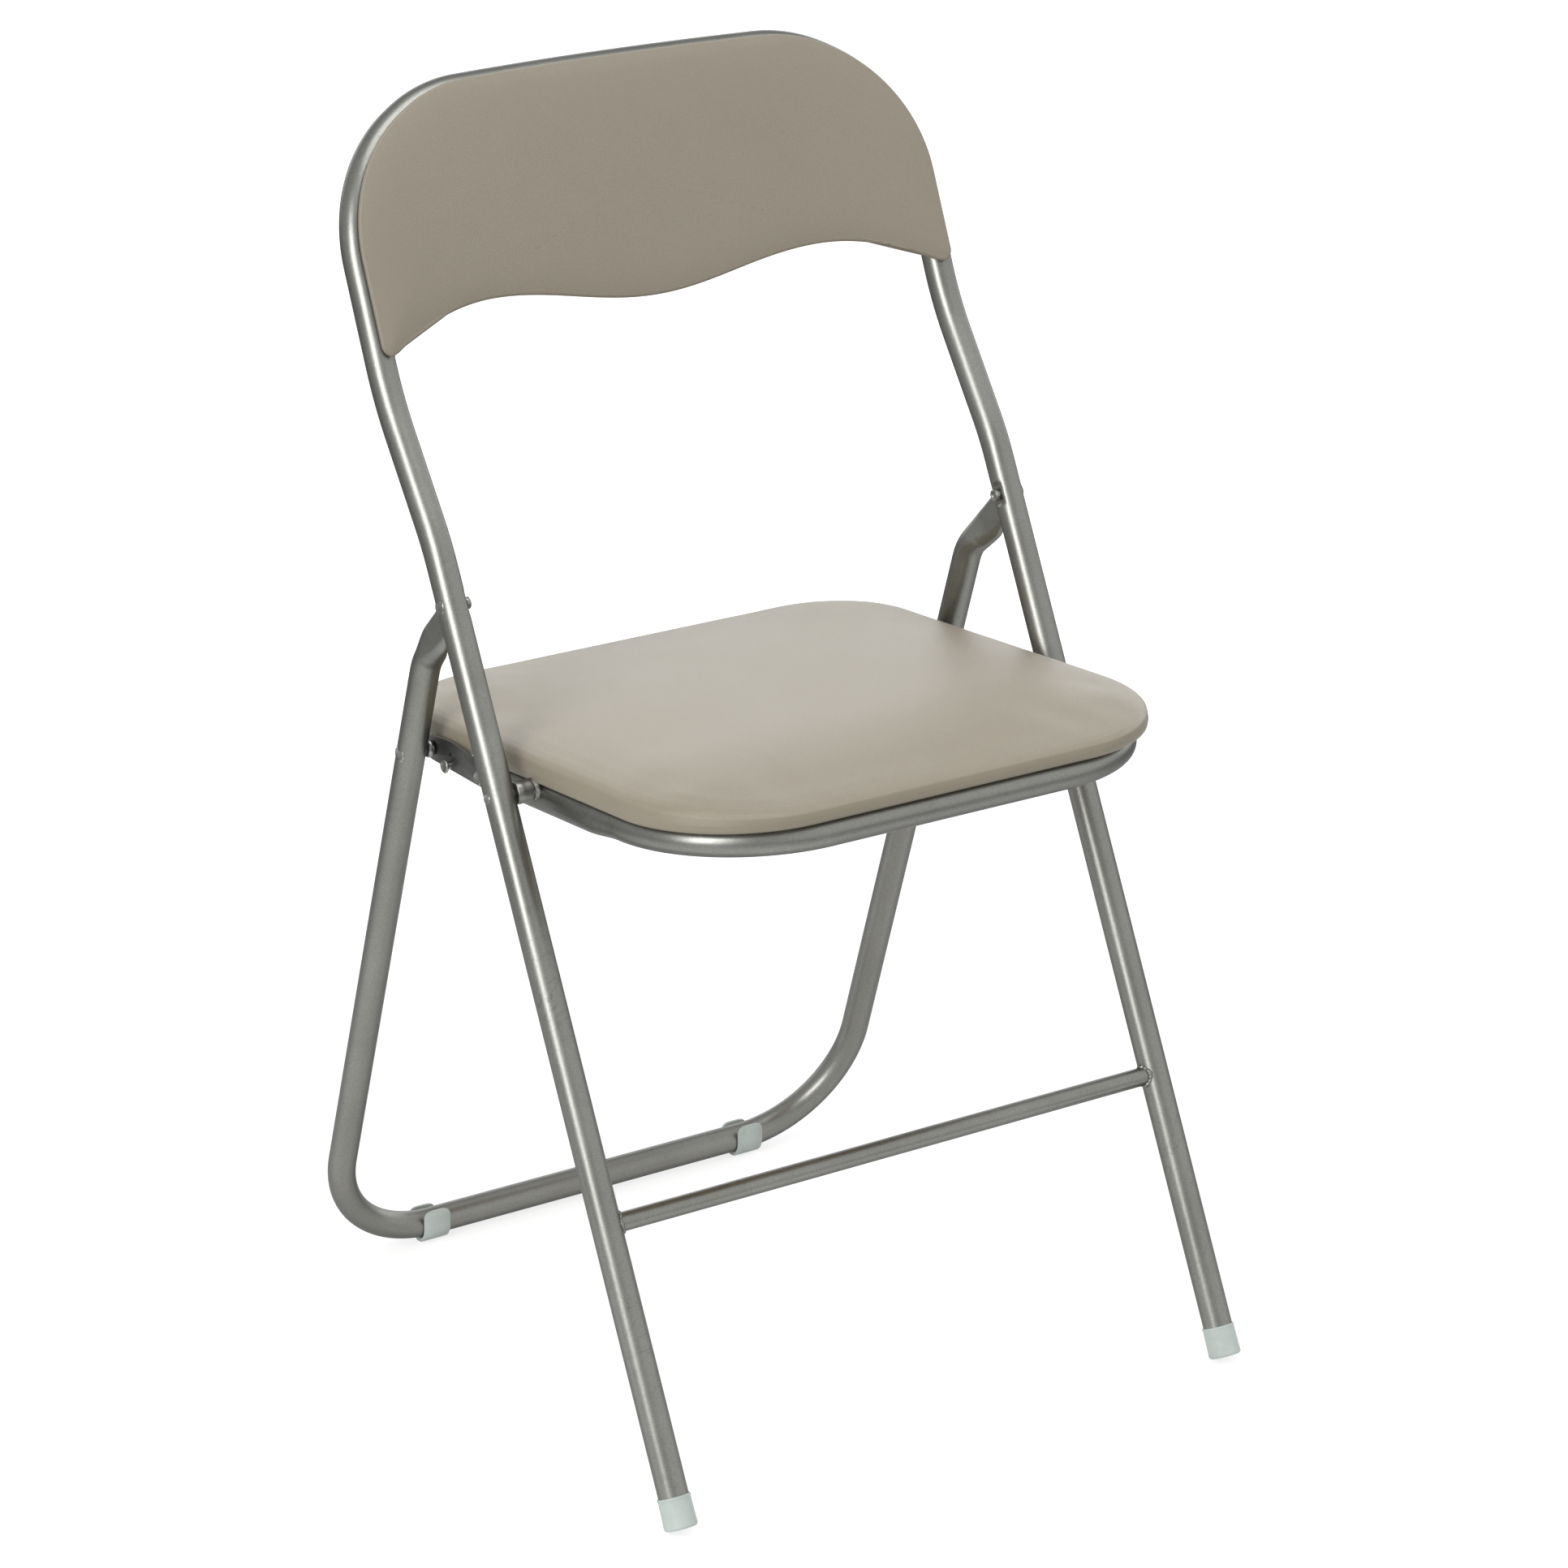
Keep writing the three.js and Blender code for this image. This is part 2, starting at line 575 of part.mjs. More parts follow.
// ---- Seat frame and links ----
function seatStations() {
  const frontY = SEAT_FRONT_Y + SEAT_TUBE_FRONT;
  const cornerY = frontY + SEAT_TUBE_CORNER_R;
  const frontX = seatOut - SEAT_TUBE_INSET;
  const middleX = frontX - SEAT_TUBE_CORNER_R;
  const roundH = -SEAT_TUBE_R - GAP;
  const pressedX = seatOut - SEAT_PRESS_HALF_T;
  const pressedH = -SEAT_PRESS_HALF_W - GAP;
  const side = (share) => ({
    point: seatPoint(
      THREE.MathUtils.lerp(frontX, pressedX, share),
      cornerY + SEAT_PRESS_LENGTH * share,
      THREE.MathUtils.lerp(roundH, pressedH, share),
    ),
    halfT: THREE.MathUtils.lerp(SEAT_TUBE_R, SEAT_PRESS_HALF_T, share),
    halfW: THREE.MathUtils.lerp(SEAT_TUBE_R, SEAT_PRESS_HALF_W, share),
  });
  const tail = seatPoint(pressedX, alongSeat(seatLink) + SEAT_TUBE_TAIL, pressedH);
  const corner = arc(middleX, cornerY, SEAT_TUBE_CORNER_R, 0, -90, 8);
  const half = [
    { point: tail, halfT: SEAT_PRESS_HALF_T, halfW: SEAT_PRESS_HALF_W },
    side(1),
    side(2 / 3),
    side(1 / 3),
    ...corner.map((p) => roundAt(SEAT_TUBE_R)(seatPoint(p.x, p.y, roundH))),
  ];
  return mirrored(half, []);
}

/** Where the seat's screws are: across and along the seat, and how deep the tube is there. */
function seatScrewSpots() {
  const frontY = SEAT_FRONT_Y + SEAT_TUBE_FRONT;
  const sideX = seatOut - SIDE_SCREW_INSET;
  return [-1, 1].flatMap((side) => [
    { name: 'front', side, x: side * FRONT_SCREW_X, y: frontY, drop: 2 * SEAT_TUBE_R },
    { name: 'side', side, x: side * sideX, y: SIDE_SCREW_Y, drop: 2 * SEAT_PRESS_HALF_W },
  ]);
}

const screwHole = ({ x, y, drop }, top) => (
  rod(seatPoint(x, y, -drop - 2 * CUT), seatPoint(x, y, top), SCREW_R + GAP, SCREW_SIDES));

function seatFrame() {
  const cutters = [-1, 1].flatMap((side) => [
    rivetHole(seatPivot, side, seatIn - CUT, seatOut + CUT),
    rivetHole(seatLink, side, seatIn - CUT, seatOut + CUT),
  ]);
  const holes = seatScrewSpots().map((spot) => screwHole(spot, CUT));
  return cut(hollowTube(seatStations(), SEAT_TUBE_WALL), [...cutters, ...holes]);
}

function seatScrew({ x, y, drop }) {
  const top = COVER_T + GAP + SEAT_BOARD_T - SCREW_COVERED;
  const under = -drop - 2 * GAP;
  const profile = [
    [0, under - SCREW_HEAD_H],
    [SCREW_FLAT_R, under - SCREW_HEAD_H],
    [SCREW_HEAD_R, under - SCREW_RIM_H],
    [SCREW_HEAD_R, under],
    [SCREW_R, under],
    [SCREW_R, top],
    [0, top],
  ];
  return turned(profile, seatPoint(x, y, 0), seatUp, SCREW_SIDES);
}

function linkPlate(side) {
  const shape = new THREE.Shape();
  const frontZ = SEAT_LINK_Z + LINK_FRONT_RISE;
  const rearZ = frontZ - LINK_FRONT_R + LINK_REAR_R;
  const up = Math.PI / 2;
  shape.absarc(SEAT_LINK_Y, frontZ, LINK_FRONT_R, up, 3 * up, false);
  shape.lineTo(rearLink.y, rearZ - LINK_REAR_R);
  shape.absarc(rearLink.y, rearZ, LINK_REAR_R, -up, up, false);
  const archY = (SEAT_LINK_Y + rearLink.y) / 2;
  shape.quadraticCurveTo(archY, LINK_ARCH_Z, SEAT_LINK_Y, frontZ + LINK_FRONT_R);
  const ends = side > 0 ? [linkIn, linkOut] : [-linkOut, -linkIn];
  const holes = [
    rivetHole(seatLink, side, linkIn - CUT, linkOut + CUT),
    rivetHole(rearLink, side, linkIn - CUT, linkOut + CUT),
    rod(atX(stopPoint, side * (linkIn - CUT)), atX(stopPoint, side * (linkOut + CUT)), STOP_R + RUN_GAP),
  ];
  return cut(sidePlate(shape, ...ends), holes);
}

/** Rivet end set in the link's rear hole; the other half of that pivot is on the leg. */
function linkStud(side) {
  const profile = [
    [0, linkIn - GAP / 2 - TAIL_H],
    [TAIL_R, linkIn - GAP / 2 - TAIL_H],
    [TAIL_R, linkIn - GAP / 2],
    [RIVET_R, linkIn - GAP / 2],
    [RIVET_R, linkOut],
    [0, linkOut],
  ];
  return turned(profile, rearLink, v3(side, 0, 0));
}

/** Stop on the link: a headed pin whose small tail is inside. */
function stopPin(side) {
  const head = linkOut + GAP + STOP_HEAD_H;
  const profile = [
    [0, linkIn - GAP / 2 - TAIL_H],
    [TAIL_R, linkIn - GAP / 2 - TAIL_H],
    [TAIL_R, linkIn - GAP / 2],
    [STOP_R, linkIn - GAP / 2],
    [STOP_R, linkOut + GAP],
    [STOP_HEAD_R, linkOut + GAP],
    [STOP_HEAD_R, head - STOP_CHAMFER],
    [STOP_FLAT_R, head],
    [0, head],
  ];
  return turned(profile, stopPoint, v3(side, 0, 0));
}

// ---- Cushion and panel ----
/** Rings of an outline {p, n}; each row {inset, scale, h} shrinks and raises it. */
function layers(outline, centre, place, rows) {
  return rows.map(({ inset = 0, scale = 1, h }) => outline.map(({ p, n }) => {
    const q = p.clone().addScaledVector(n, -inset).sub(centre).multiplyScalar(scale).add(centre);
    return place(q.x, q.y, typeof h === 'function' ? h(scale) : h);
  }));
}

/** Outward normals for the points of a closed outline that runs anticlockwise. */
function withNormals(points) {
  return points.map((p, i) => {
    const before = points[(i + points.length - 1) % points.length];
    const after = points[(i + 1) % points.length];
    const t = after.clone().sub(before).normalize();
    return { p, n: new THREE.Vector2(t.y, -t.x) };
  });
}

function seatOutline() {
  const [w, y0, y1] = [seatHalfW, SEAT_FRONT_Y, SEAT_REAR_Y];
  const [a, b] = [SEAT_FRONT_R, SEAT_REAR_R];
  return withNormals([
    ...arc(-w + a, y0 + a, a, 180, 270, 6),
    new THREE.Vector2(0, y0),
    ...arc(w - a, y0 + a, a, 270, 360, 6),
    new THREE.Vector2(w, (y0 + y1) / 2),
    ...arc(w - b, y1 - b, b, 0, 90, 5),
    new THREE.Vector2(0, y1),
    ...arc(-w + b, y1 - b, b, 90, 180, 5),
    new THREE.Vector2(-w, (y0 + y1) / 2),
  ]);
}

const seatMiddle = new THREE.Vector2(0, (SEAT_FRONT_Y + SEAT_REAR_Y) / 2);
const seatLayers = (rows) => rings(layers(seatOutline(), seatMiddle, seatPoint, rows));
const crownRows = (inset, height) => CROWN_STEPS.map((scale) => (
  { inset, scale, h: (k) => height + SEAT_CROWN * (1 - k ** 2) ** 1.2 }));

function seatBoard() {
  const inset = SEAT_BOARD_INSET;
  const low = COVER_T + GAP;
  const high = low + SEAT_BOARD_T;
  const board = seatLayers([
    { scale: 0, h: low }, { inset, h: low }, { inset, h: high }, { scale: 0, h: high },
  ]);
  return cut(board, seatScrewSpots().map((spot) => screwHole(spot, high - 1)));
}

function seatFoam() {
  const low = COVER_T + SEAT_BOARD_T + 2 * GAP;
  const top = SEAT_EDGE_H - COVER_T - GAP;
  const inset = COVER_T + GAP;
  return seatLayers([
    { scale: 0, h: low },
    { inset, h: low },
    { inset: inset + SEAT_EDGE_R * 0.1, h: top - SEAT_SHOULDER },
    { inset: inset + SEAT_EDGE_R * 0.5, h: top - SEAT_SHOULDER / 2 },
    { inset: inset + SEAT_EDGE_R, h: top },
    ...crownRows(inset + SEAT_EDGE_R, top),
  ]);
}

/** Cover drawn over the foam and folded under the board, where it leaves an opening. */
function seatCover() {
  const skin = (t) => [
    { inset: COVER_LIP, h: t },
    { inset: SEAT_HEM + t, h: t },
    { inset: t, h: SEAT_HEM },
    { inset: t - SEAT_BULGE, h: SEAT_EDGE_H / 2 },
    { inset: COVER_T + t, h: SEAT_EDGE_H - SEAT_SHOULDER - t / 3 },
    { inset: SEAT_EDGE_R + t / 2, h: SEAT_EDGE_H - t },
    ...crownRows(SEAT_EDGE_R + t / 2, SEAT_EDGE_H - t),
  ];
  const outer = skin(0);
  const shell = seatLayers([...outer, ...skin(COVER_T).reverse(), outer[0]]);
  return cut(shell, seatScrewSpots().map((spot) => screwHole(spot, COVER_T + CUT)));
}

/** Height along the back of the panel's wavy lower edge. */
function waveAt(x) {
  const far = Math.abs(x) - PANEL_PEAK_X;
  if (far > 0) {
    const reach = panelTipX - PANEL_PEAK_X;
    return PANEL_PEAK - (PANEL_PEAK - PANEL_TIP) * (far / reach) ** 2;
  }
  const middle = (PANEL_PEAK + PANEL_DIP) / 2;
  return middle - ((PANEL_PEAK - PANEL_DIP) / 2) * Math.cos((Math.PI * x) / PANEL_PEAK_X);
}

function panelOutline() {
  const [w, r, e] = [panelHalfW, panelCornerR, PANEL_TIP_R];
  const tipY = waveAt(w - e) + e;
  const wave = [];
  for (let i = -9; i <= 9; i += 1) {
    const x = (i / 9) * (w - e - PANEL_TIP_LEAD);
    wave.push(new THREE.Vector2(x, waveAt(x)));
  }
  return withNormals([
    ...wave,
    ...arc(w - e, tipY, e, -PANEL_TIP_SWEEP, 0, 3),
    ...between(new THREE.Vector2(w, tipY), new THREE.Vector2(w, panelTop - r), 1),
    ...arc(w - r, panelTop - r, r, 0, 90, 7),
    ...[0.5, 0, -0.5].map((share) => new THREE.Vector2(share * (w - r), panelTop)),
    ...arc(r - w, panelTop - r, r, 90, 180, 7),
    ...between(new THREE.Vector2(-w, panelTop - r), new THREE.Vector2(-w, tipY), 1),
    ...arc(e - w, tipY, e, 180, 180 + PANEL_TIP_SWEEP, 3),
  ]);
}

const panelMiddle = new THREE.Vector2(0, (panelTop + PANEL_DIP) / 2);
const panelLayers = (rows) => rings(layers(panelOutline(), panelMiddle, backPoint, rows));
const panelBack = TUBE_R + GAP;
const padBack = panelBack + PANEL_BOARD_T + GAP;

function backBoard() {
  const inset = PANEL_BOARD_INSET;
  const board = panelLayers([
    ...BOARD_STEPS.map((scale) => ({ inset, scale, h: panelBack })),
    ...BOARD_STEPS.toReversed().map((scale) => ({ inset, scale, h: panelBack + PANEL_BOARD_T })),
  ]);
  return cut(board, tabs().map(screwClearance));
}

/** Clearance hole for a back screw, through the tab and the board. */
function screwClearance({ x, s, rear }) {
  const reach = PANEL_BOARD_T + 2 * TAB_T;
  const from = backPoint(x, s, rear).addScaledVector(backNormal(x), -reach);
  const to = backPoint(x, s, rear).addScaledVector(backNormal(x), 2 * reach);
  return rod(from, to, SCREW_R + GAP, SCREW_SIDES);
}

/** Padded front of the panel. */
function backPad() {
  const front = (k) => PANEL_FRONT + PANEL_CROWN * (1 - k ** 2) ** 0.8;
  return panelLayers([
    ...PAD_STEPS.map((scale) => ({ inset: PANEL_EDGE_R, scale, h: front })),
    { inset: PANEL_EDGE_R, h: PANEL_FRONT },
    { inset: PANEL_EDGE_R * ARC_SAG, h: PANEL_FRONT - PANEL_EDGE_R * ARC_SAG },
    { inset: 0, h: padBack + PANEL_EDGE_RISE },
    ...BOARD_STEPS.toReversed().map((scale) => ({ inset: PANEL_BOARD_INSET, scale, h: padBack })),
  ]);
}

/** Steel tabs welded inside the back's tube: screw position and the four plate corners. */
function tabs() {
  const face = TUBE_R - GAP / 2;
  const rear = face - TAB_T;
  const halfW = TAB_W / 2;
  const halfReach = TAB_REACH / 2;
  // The panel bows away from the straight uprights, so a side tab meets them lower down.
  const dip = BACK_BOW * (1 - (frameIn / FRAME_HALF_W) ** 2);
  const sideX = FRAME_HALF_W - Math.sqrt(TUBE_R ** 2 - (rear - dip) ** 2) - GAP - halfReach;
  const sideS = BACK_LENGTH - BACK_CORNER_R - SIDE_TAB_DROP;
  const topS = BACK_LENGTH - Math.sqrt(TUBE_R ** 2 - rear ** 2) - GAP - halfReach;
  const tab = (name, side, x, s, halfX, halfS) => {
    const corners = [[-1, -1], [1, -1], [1, 1], [-1, 1]].map(([i, j]) => [x + i * halfX, s + j * halfS]);
    return { name, side, x, s, rear, face, corners };
  };
  return [-1, 1].flatMap((side) => [
    tab('side', side, side * sideX, sideS, halfReach, halfW),
    tab('top', side, side * TOP_TAB_X, topS, halfW, halfReach),
  ]);
}

function backTab(tab) {
  const { x, s, rear, face, corners } = tab;
  const ring = (n) => corners.map(([cx, cs]) => backPoint(cx, cs, n));
  const pole = (n) => corners.map(() => backPoint(x, s, n));
  return cut(rings([pole(rear), ring(rear), ring(face), pole(face)]), [screwClearance(tab)]);
}

function backScrew({ x, s, rear }) {
  const end = panelBack + PANEL_BOARD_T - BACK_SCREW_COVERED - rear;
  const profile = [
    [0, -GAP - SCREW_HEAD_H],
    [SCREW_FLAT_R, -GAP - SCREW_HEAD_H],
    [SCREW_HEAD_R, -GAP - SCREW_RIM_H],
    [SCREW_HEAD_R, -GAP],
    [SCREW_R, -GAP],
    [SCREW_R, end],
    [0, end],
  ];
  return turned(profile, backPoint(x, s, rear), backNormal(x), SCREW_SIDES);
}

// ---- Materials ----
const look = (color, roughness, metalness) => (
  () => new THREE.MeshStandardMaterial({ color, roughness, metalness }));
const silver = look(0xa9aaa3, 0.35, 0.9);
const steel = look(0x8d8e8a, 0.4, 0.9);
const darkSteel = look(0x6d6e6b, 0.45, 0.85);
const rubber = look(0xb9c2bc, 0.6, 0);
const plywood = look(0xb08a5a, 0.8, 0);
const foam = look(0xe6dfc8, 0.95, 0);
const seatVinyl = look(0xb7ada0, 0.5, 0);
const backVinyl = look(0x958d7e, 0.55, 0);

// ---- Assembly ----
const group = new THREE.Group();
group.name = 'folding_chair';

function add(name, geometry, material) {
  const mesh = new THREE.Mesh(geometry, material());
  mesh.name = name;
  geometry.computeVertexNormals();
  group.add(mesh);
}

add('front_frame', frontFrame(), silver);
add('crossbar', crossbar(), silver);
add('rear_frame', rearFrame(), silver);
add('seat_frame', seatFrame(), silver);
add('seat_board', seatBoard(), plywood);
add('seat_foam', seatFoam(), foam);
add('seat_cover', seatCover(), seatVinyl);
add('back_board', backBoard(), plywood);
add('back_pad', backPad(), backVinyl);

for (const [suffix, side] of [['left', -1], ['right', 1]]) {
  add(`link_${suffix}`, linkPlate(side), darkSteel);
  add(`link_stud_${suffix}`, linkStud(side), steel);
  add(`stop_pin_${suffix}`, stopPin(side), steel);
  add(`top_rivet_${suffix}`, rivet(topPivot, side, frameOut, frameIn, HEAD_R, TAIL_R), steel);
  add(`seat_rivet_${suffix}`, rivet(seatPivot, side, frameOut, seatIn, SEAT_HEAD_R, TAIL_R), steel);
  add(`link_rivet_${suffix}`, rivet(seatLink, side, linkOut, seatIn, LINK_HEAD_R, TAIL_R), steel);
  add(`leg_rivet_${suffix}`, legRivet(side), steel);
  add(`seat_collar_${suffix}`,
    ringAcross(seatPivot, side, seatOut + GAP, frameIn - GAP, COLLAR_R, COLLAR_R), silver);
  add(`leg_spacer_${suffix}`,
    ringAcross(rearLink, side, linkOut + GAP, rearIn - GAP, SPACER_END_R, SPACER_R), steel);
  add(`link_washer_${suffix}`,
    ringAcross(seatLink, side, seatOut + GAP, washerOut, WASHER_R, WASHER_R), steel);
  add(`foot_cap_${suffix}`, footCap(side), rubber);
  add(`rail_clip_${suffix}`, railClip(side), rubber);
}

for (const spot of seatScrewSpots()) {
  add(`seat_screw_${spot.name}_${spot.side < 0 ? 'left' : 'right'}`, seatScrew(spot), steel);
}

for (const tab of tabs()) {
  const suffix = `${tab.name}_${tab.side < 0 ? 'left' : 'right'}`;
  add(`back_tab_${suffix}`, backTab(tab), silver);
  add(`back_screw_${suffix}`, backScrew(tab), steel);
}

/** Rivet through the rear leg and its spacer, which ends just clear of the link. */
function legRivet(side) {
  const profile = [
    [0, linkOut + GAP],
    [RIVET_R, linkOut + GAP],
    [RIVET_R, rearOut + GAP],
    [HEAD_R, rearOut + GAP],
    [HEAD_R, rearOut + GAP + HEAD_H * HEAD_RIM],
    [HEAD_R * HEAD_FLAT, rearOut + GAP + HEAD_H * HEAD_FLAT_H],
    [0, rearOut + GAP + HEAD_H],
  ];
  return turned(profile, rearLink, v3(side, 0, 0));
}

export default group;
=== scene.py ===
"""Folding chair: satin tube frame, padded vinyl seat and curved vinyl back, dressed over its frame.

Shapes are worked out in millimetres and put into the meshes in metres. X runs across the chair,
the sitter faces -Y, Z is up, and the origin is on the floor under the middle of the chair.
"""

import logging
import math
from collections.abc import Callable, Sequence
from dataclasses import dataclass, field
from enum import Enum

import bpy
import numpy as np
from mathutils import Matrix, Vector


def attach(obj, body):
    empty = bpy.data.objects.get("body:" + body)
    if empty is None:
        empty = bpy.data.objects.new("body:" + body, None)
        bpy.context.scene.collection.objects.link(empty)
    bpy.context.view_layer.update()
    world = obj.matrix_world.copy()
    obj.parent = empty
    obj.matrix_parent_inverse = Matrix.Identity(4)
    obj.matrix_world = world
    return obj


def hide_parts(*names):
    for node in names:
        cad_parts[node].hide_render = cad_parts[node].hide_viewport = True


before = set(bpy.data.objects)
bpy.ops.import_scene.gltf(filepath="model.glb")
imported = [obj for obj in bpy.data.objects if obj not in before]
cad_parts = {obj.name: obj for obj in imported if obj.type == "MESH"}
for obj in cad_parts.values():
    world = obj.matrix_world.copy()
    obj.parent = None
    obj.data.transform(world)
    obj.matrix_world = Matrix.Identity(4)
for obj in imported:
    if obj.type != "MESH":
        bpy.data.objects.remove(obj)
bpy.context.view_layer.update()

LOG = logging.getLogger("folding_chair")
Array = np.ndarray
Colour = tuple[float, float, float]
Span = tuple[float, float]
Relief = Callable[[Array, Array], Array]
Object, Material = bpy.types.Object, bpy.types.Material
Tree, Socket = bpy.types.NodeTree, bpy.types.NodeSocket

MM = 0.001
TUBE_SIDES = 48
TURNED_SIDES = 48
SIDES = {"left": -1, "right": 1}
TEXTURE_INPUTS = {"Vector": "Vector", "Scale": "Float"}
WHITE = (1.0, 1.0, 1.0, 1.0)


# Points and curves
def vec(x: float = 0.0, y: float = 0.0, z: float = 0.0) -> Array:
    """A point or direction as an array."""
    return np.array([x, y, z], float)


X_AXIS = vec(1, 0, 0)


def unit(v: Array) -> Array:
    """The same directions at length one, along the last axis."""
    return v / np.linalg.norm(v, axis=-1, keepdims=True)


def upright(lean: float) -> Array:
    """Direction in the side plane that leans so many degrees from upright, its top to the rear."""
    return vec(0, math.sin(math.radians(lean)), math.cos(math.radians(lean)))


def at_x(point: Array, x: float) -> Array:
    """The same point or points at another place across the chair."""
    return np.where([True, False, False], np.asarray(x, float)[..., None], point)


def smoothstep(x: Array | float, low: float, high: float) -> Array:
    """3t^2 - 2t^3, where t is how far x has gone from low to high, kept between 0 and 1."""
    t = np.clip((np.asarray(x, float) - low) / (high - low), 0, 1)
    return t * t * (3 - 2 * t)


def bell(x: Array, middle: float, width: float) -> Array:
    """exp(-((x - middle) / width)^2): a smooth bump of height one."""
    return np.exp(-(((x - middle) / width) ** 2))


def fillet(a: Array, b: Array, c: Array, radius: float, step: float = 2.0) -> Array:
    """Arc that rounds corner b of the path a, b, c.

    A point is the circle's centre plus the radius times (cos t along the first spoke
    plus sin t along the way the path was going), for t from 0 to the turn.

    Args:
        a: Point before the corner.
        b: The corner.
        c: Point after the corner.
        radius: Radius of the arc.
        step: Most degrees between two points.

    Returns:
        The arc's points, both ends included.
    """
    to_a, to_c = unit(a - b), unit(c - b)
    half = math.acos(float(np.clip(to_a @ to_c, -1, 1))) / 2
    centre = b + unit(to_a + to_c) * radius / math.sin(half)
    spoke = unit(b + to_a * radius / math.tan(half) - centre)
    turn = math.pi - 2 * half
    t = np.linspace(0, turn, max(2, math.ceil(math.degrees(turn) / step)) + 1)[:, None]
    return centre + radius * (np.cos(t) * spoke - np.sin(t) * to_a)


def arc(cx: float, cy: float, radius: float, start: float, stop: float, step: float = 2.0) -> Array:
    """Plane arc: centre plus radius times (cos t, sin t), t from start to stop in degrees.

    Args:
        cx: Centre, first coordinate.
        cy: Centre, second coordinate.
        radius: Radius.
        start: First angle in degrees.
        stop: Last angle in degrees.
        step: Most degrees between two points.

    Returns:
        Points of the arc, both ends included.
    """
    t = np.radians(np.linspace(start, stop, max(2, math.ceil(abs(stop - start) / step)) + 1))
    return np.stack([cx + radius * np.cos(t), cy + radius * np.sin(t)], axis=1)


def lengths_along(path: Array) -> Array:
    """Distance from the start of a path to each of its points."""
    gaps = np.linalg.norm(np.diff(path[:, :3], axis=0), axis=1)
    return np.concatenate([[0.0], np.cumsum(gaps)])


def densify(path: Array, step: float, dense: Sequence[tuple[float, float]] = ()) -> Array:
    """Adds stations along a path's longer runs, by straight interpolation of every column.

    Args:
        path: Stations, one per row, whose first columns are the point.
        step: Distance between added stations.
        dense: Ranges of distances along the path where the step is a fifth.

    Returns:
        The path with the added stations; none is right beside an old one.
    """
    s = lengths_along(path)
    wanted = [np.arange(step, s[-1], step)]
    wanted += [np.arange(max(low, 0.5), min(high, s[-1]), step / 5) for low, high in dense]
    extra = np.unique(np.concatenate(wanted))
    after = np.clip(np.searchsorted(s, extra), 1, len(s) - 1)
    nearest = np.minimum(np.abs(extra - s[after - 1]), np.abs(s[after] - extra))
    extra = extra[nearest > step / 12]
    extra = extra[np.diff(extra, prepend=-step) > step / 12]
    places = np.sort(np.concatenate([s, extra]))
    return np.stack([np.interp(places, s, column) for column in path.T], axis=1)


def stations(points: Array, half_t: float, half_w: float | None = None) -> Array:
    """Path rows x, y, z, half thickness, half width for a run of one section."""
    sizes = [half_t, half_t if half_w is None else half_w]
    return np.hstack([points, np.tile(sizes, (len(points), 1))])


def mirrored(half: Array) -> Array:
    """A path followed by its mirror image about the middle of the chair, run backwards."""
    return np.vstack([half, half[::-1] * np.where(np.arange(half.shape[1]) == 0, -1, 1)])


def soften(corners: Sequence[Sequence[float]], radius: float, step: float = 15.0) -> Array:
    """Polyline whose inner corners are rounded, by the radius or by what their runs have room for.

    Args:
        corners: The polyline's points.
        radius: Radius wanted at each corner.
        step: Most degrees between two points of an arc.

    Returns:
        Points of the rounded polyline.
    """
    points = np.asarray(corners, float)
    parts = [points[:1]]
    for a, b, c in zip(points, points[1:], points[2:]):
        to_a, to_c = unit(a - b), unit(c - b)
        half = math.acos(float(np.clip(to_a @ to_c, -1, 1))) / 2
        if half > math.radians(89):
            parts.append(b[None])
            continue
        room = 0.45 * min(np.linalg.norm(a - b), np.linalg.norm(c - b))
        parts.append(fillet(a, b, c, min(radius, room * math.tan(half)), step))
    parts.append(points[-1:])
    return np.vstack(parts)


def outward(points: Array) -> Array:
    """Outward normals of a closed plane outline that runs anticlockwise."""
    tangent = unit(np.roll(points, -1, axis=0) - np.roll(points, 1, axis=0))
    return np.stack([tangent[:, 1], -tangent[:, 0]], axis=1)


# Meshes
class Ends(Enum):
    """How the first and last ring of a surface are closed."""

    CAPPED = "capped"
    LOOPED = "looped"


def signed_volume(points: Array, triangles: Array) -> float:
    """Sum over the triangles of a . (b x c) / 6, positive where the faces point outwards."""
    a, b, c = (points[triangles[:, k]] for k in range(3))
    return float(np.einsum("ij,ij->i", a, np.cross(b, c)).sum() / 6)


def finish_mesh(mesh: bpy.types.Mesh, sharp: float) -> None:
    """Smooth faces, with the edges over so many degrees kept sharp."""
    mesh.shade_smooth()
    mesh.set_sharp_from_angle(angle=math.radians(sharp))


def put_object(name: str, data: bpy.types.ID) -> Object:
    """Puts a mesh, lamp or camera at the origin of the scene.

    Args:
        name: Name of the object.
        data: Its mesh, lamp or camera.

    Returns:
        The object.
    """
    obj = bpy.data.objects.new(name, data)
    bpy.context.scene.collection.objects.link(obj)
    return obj


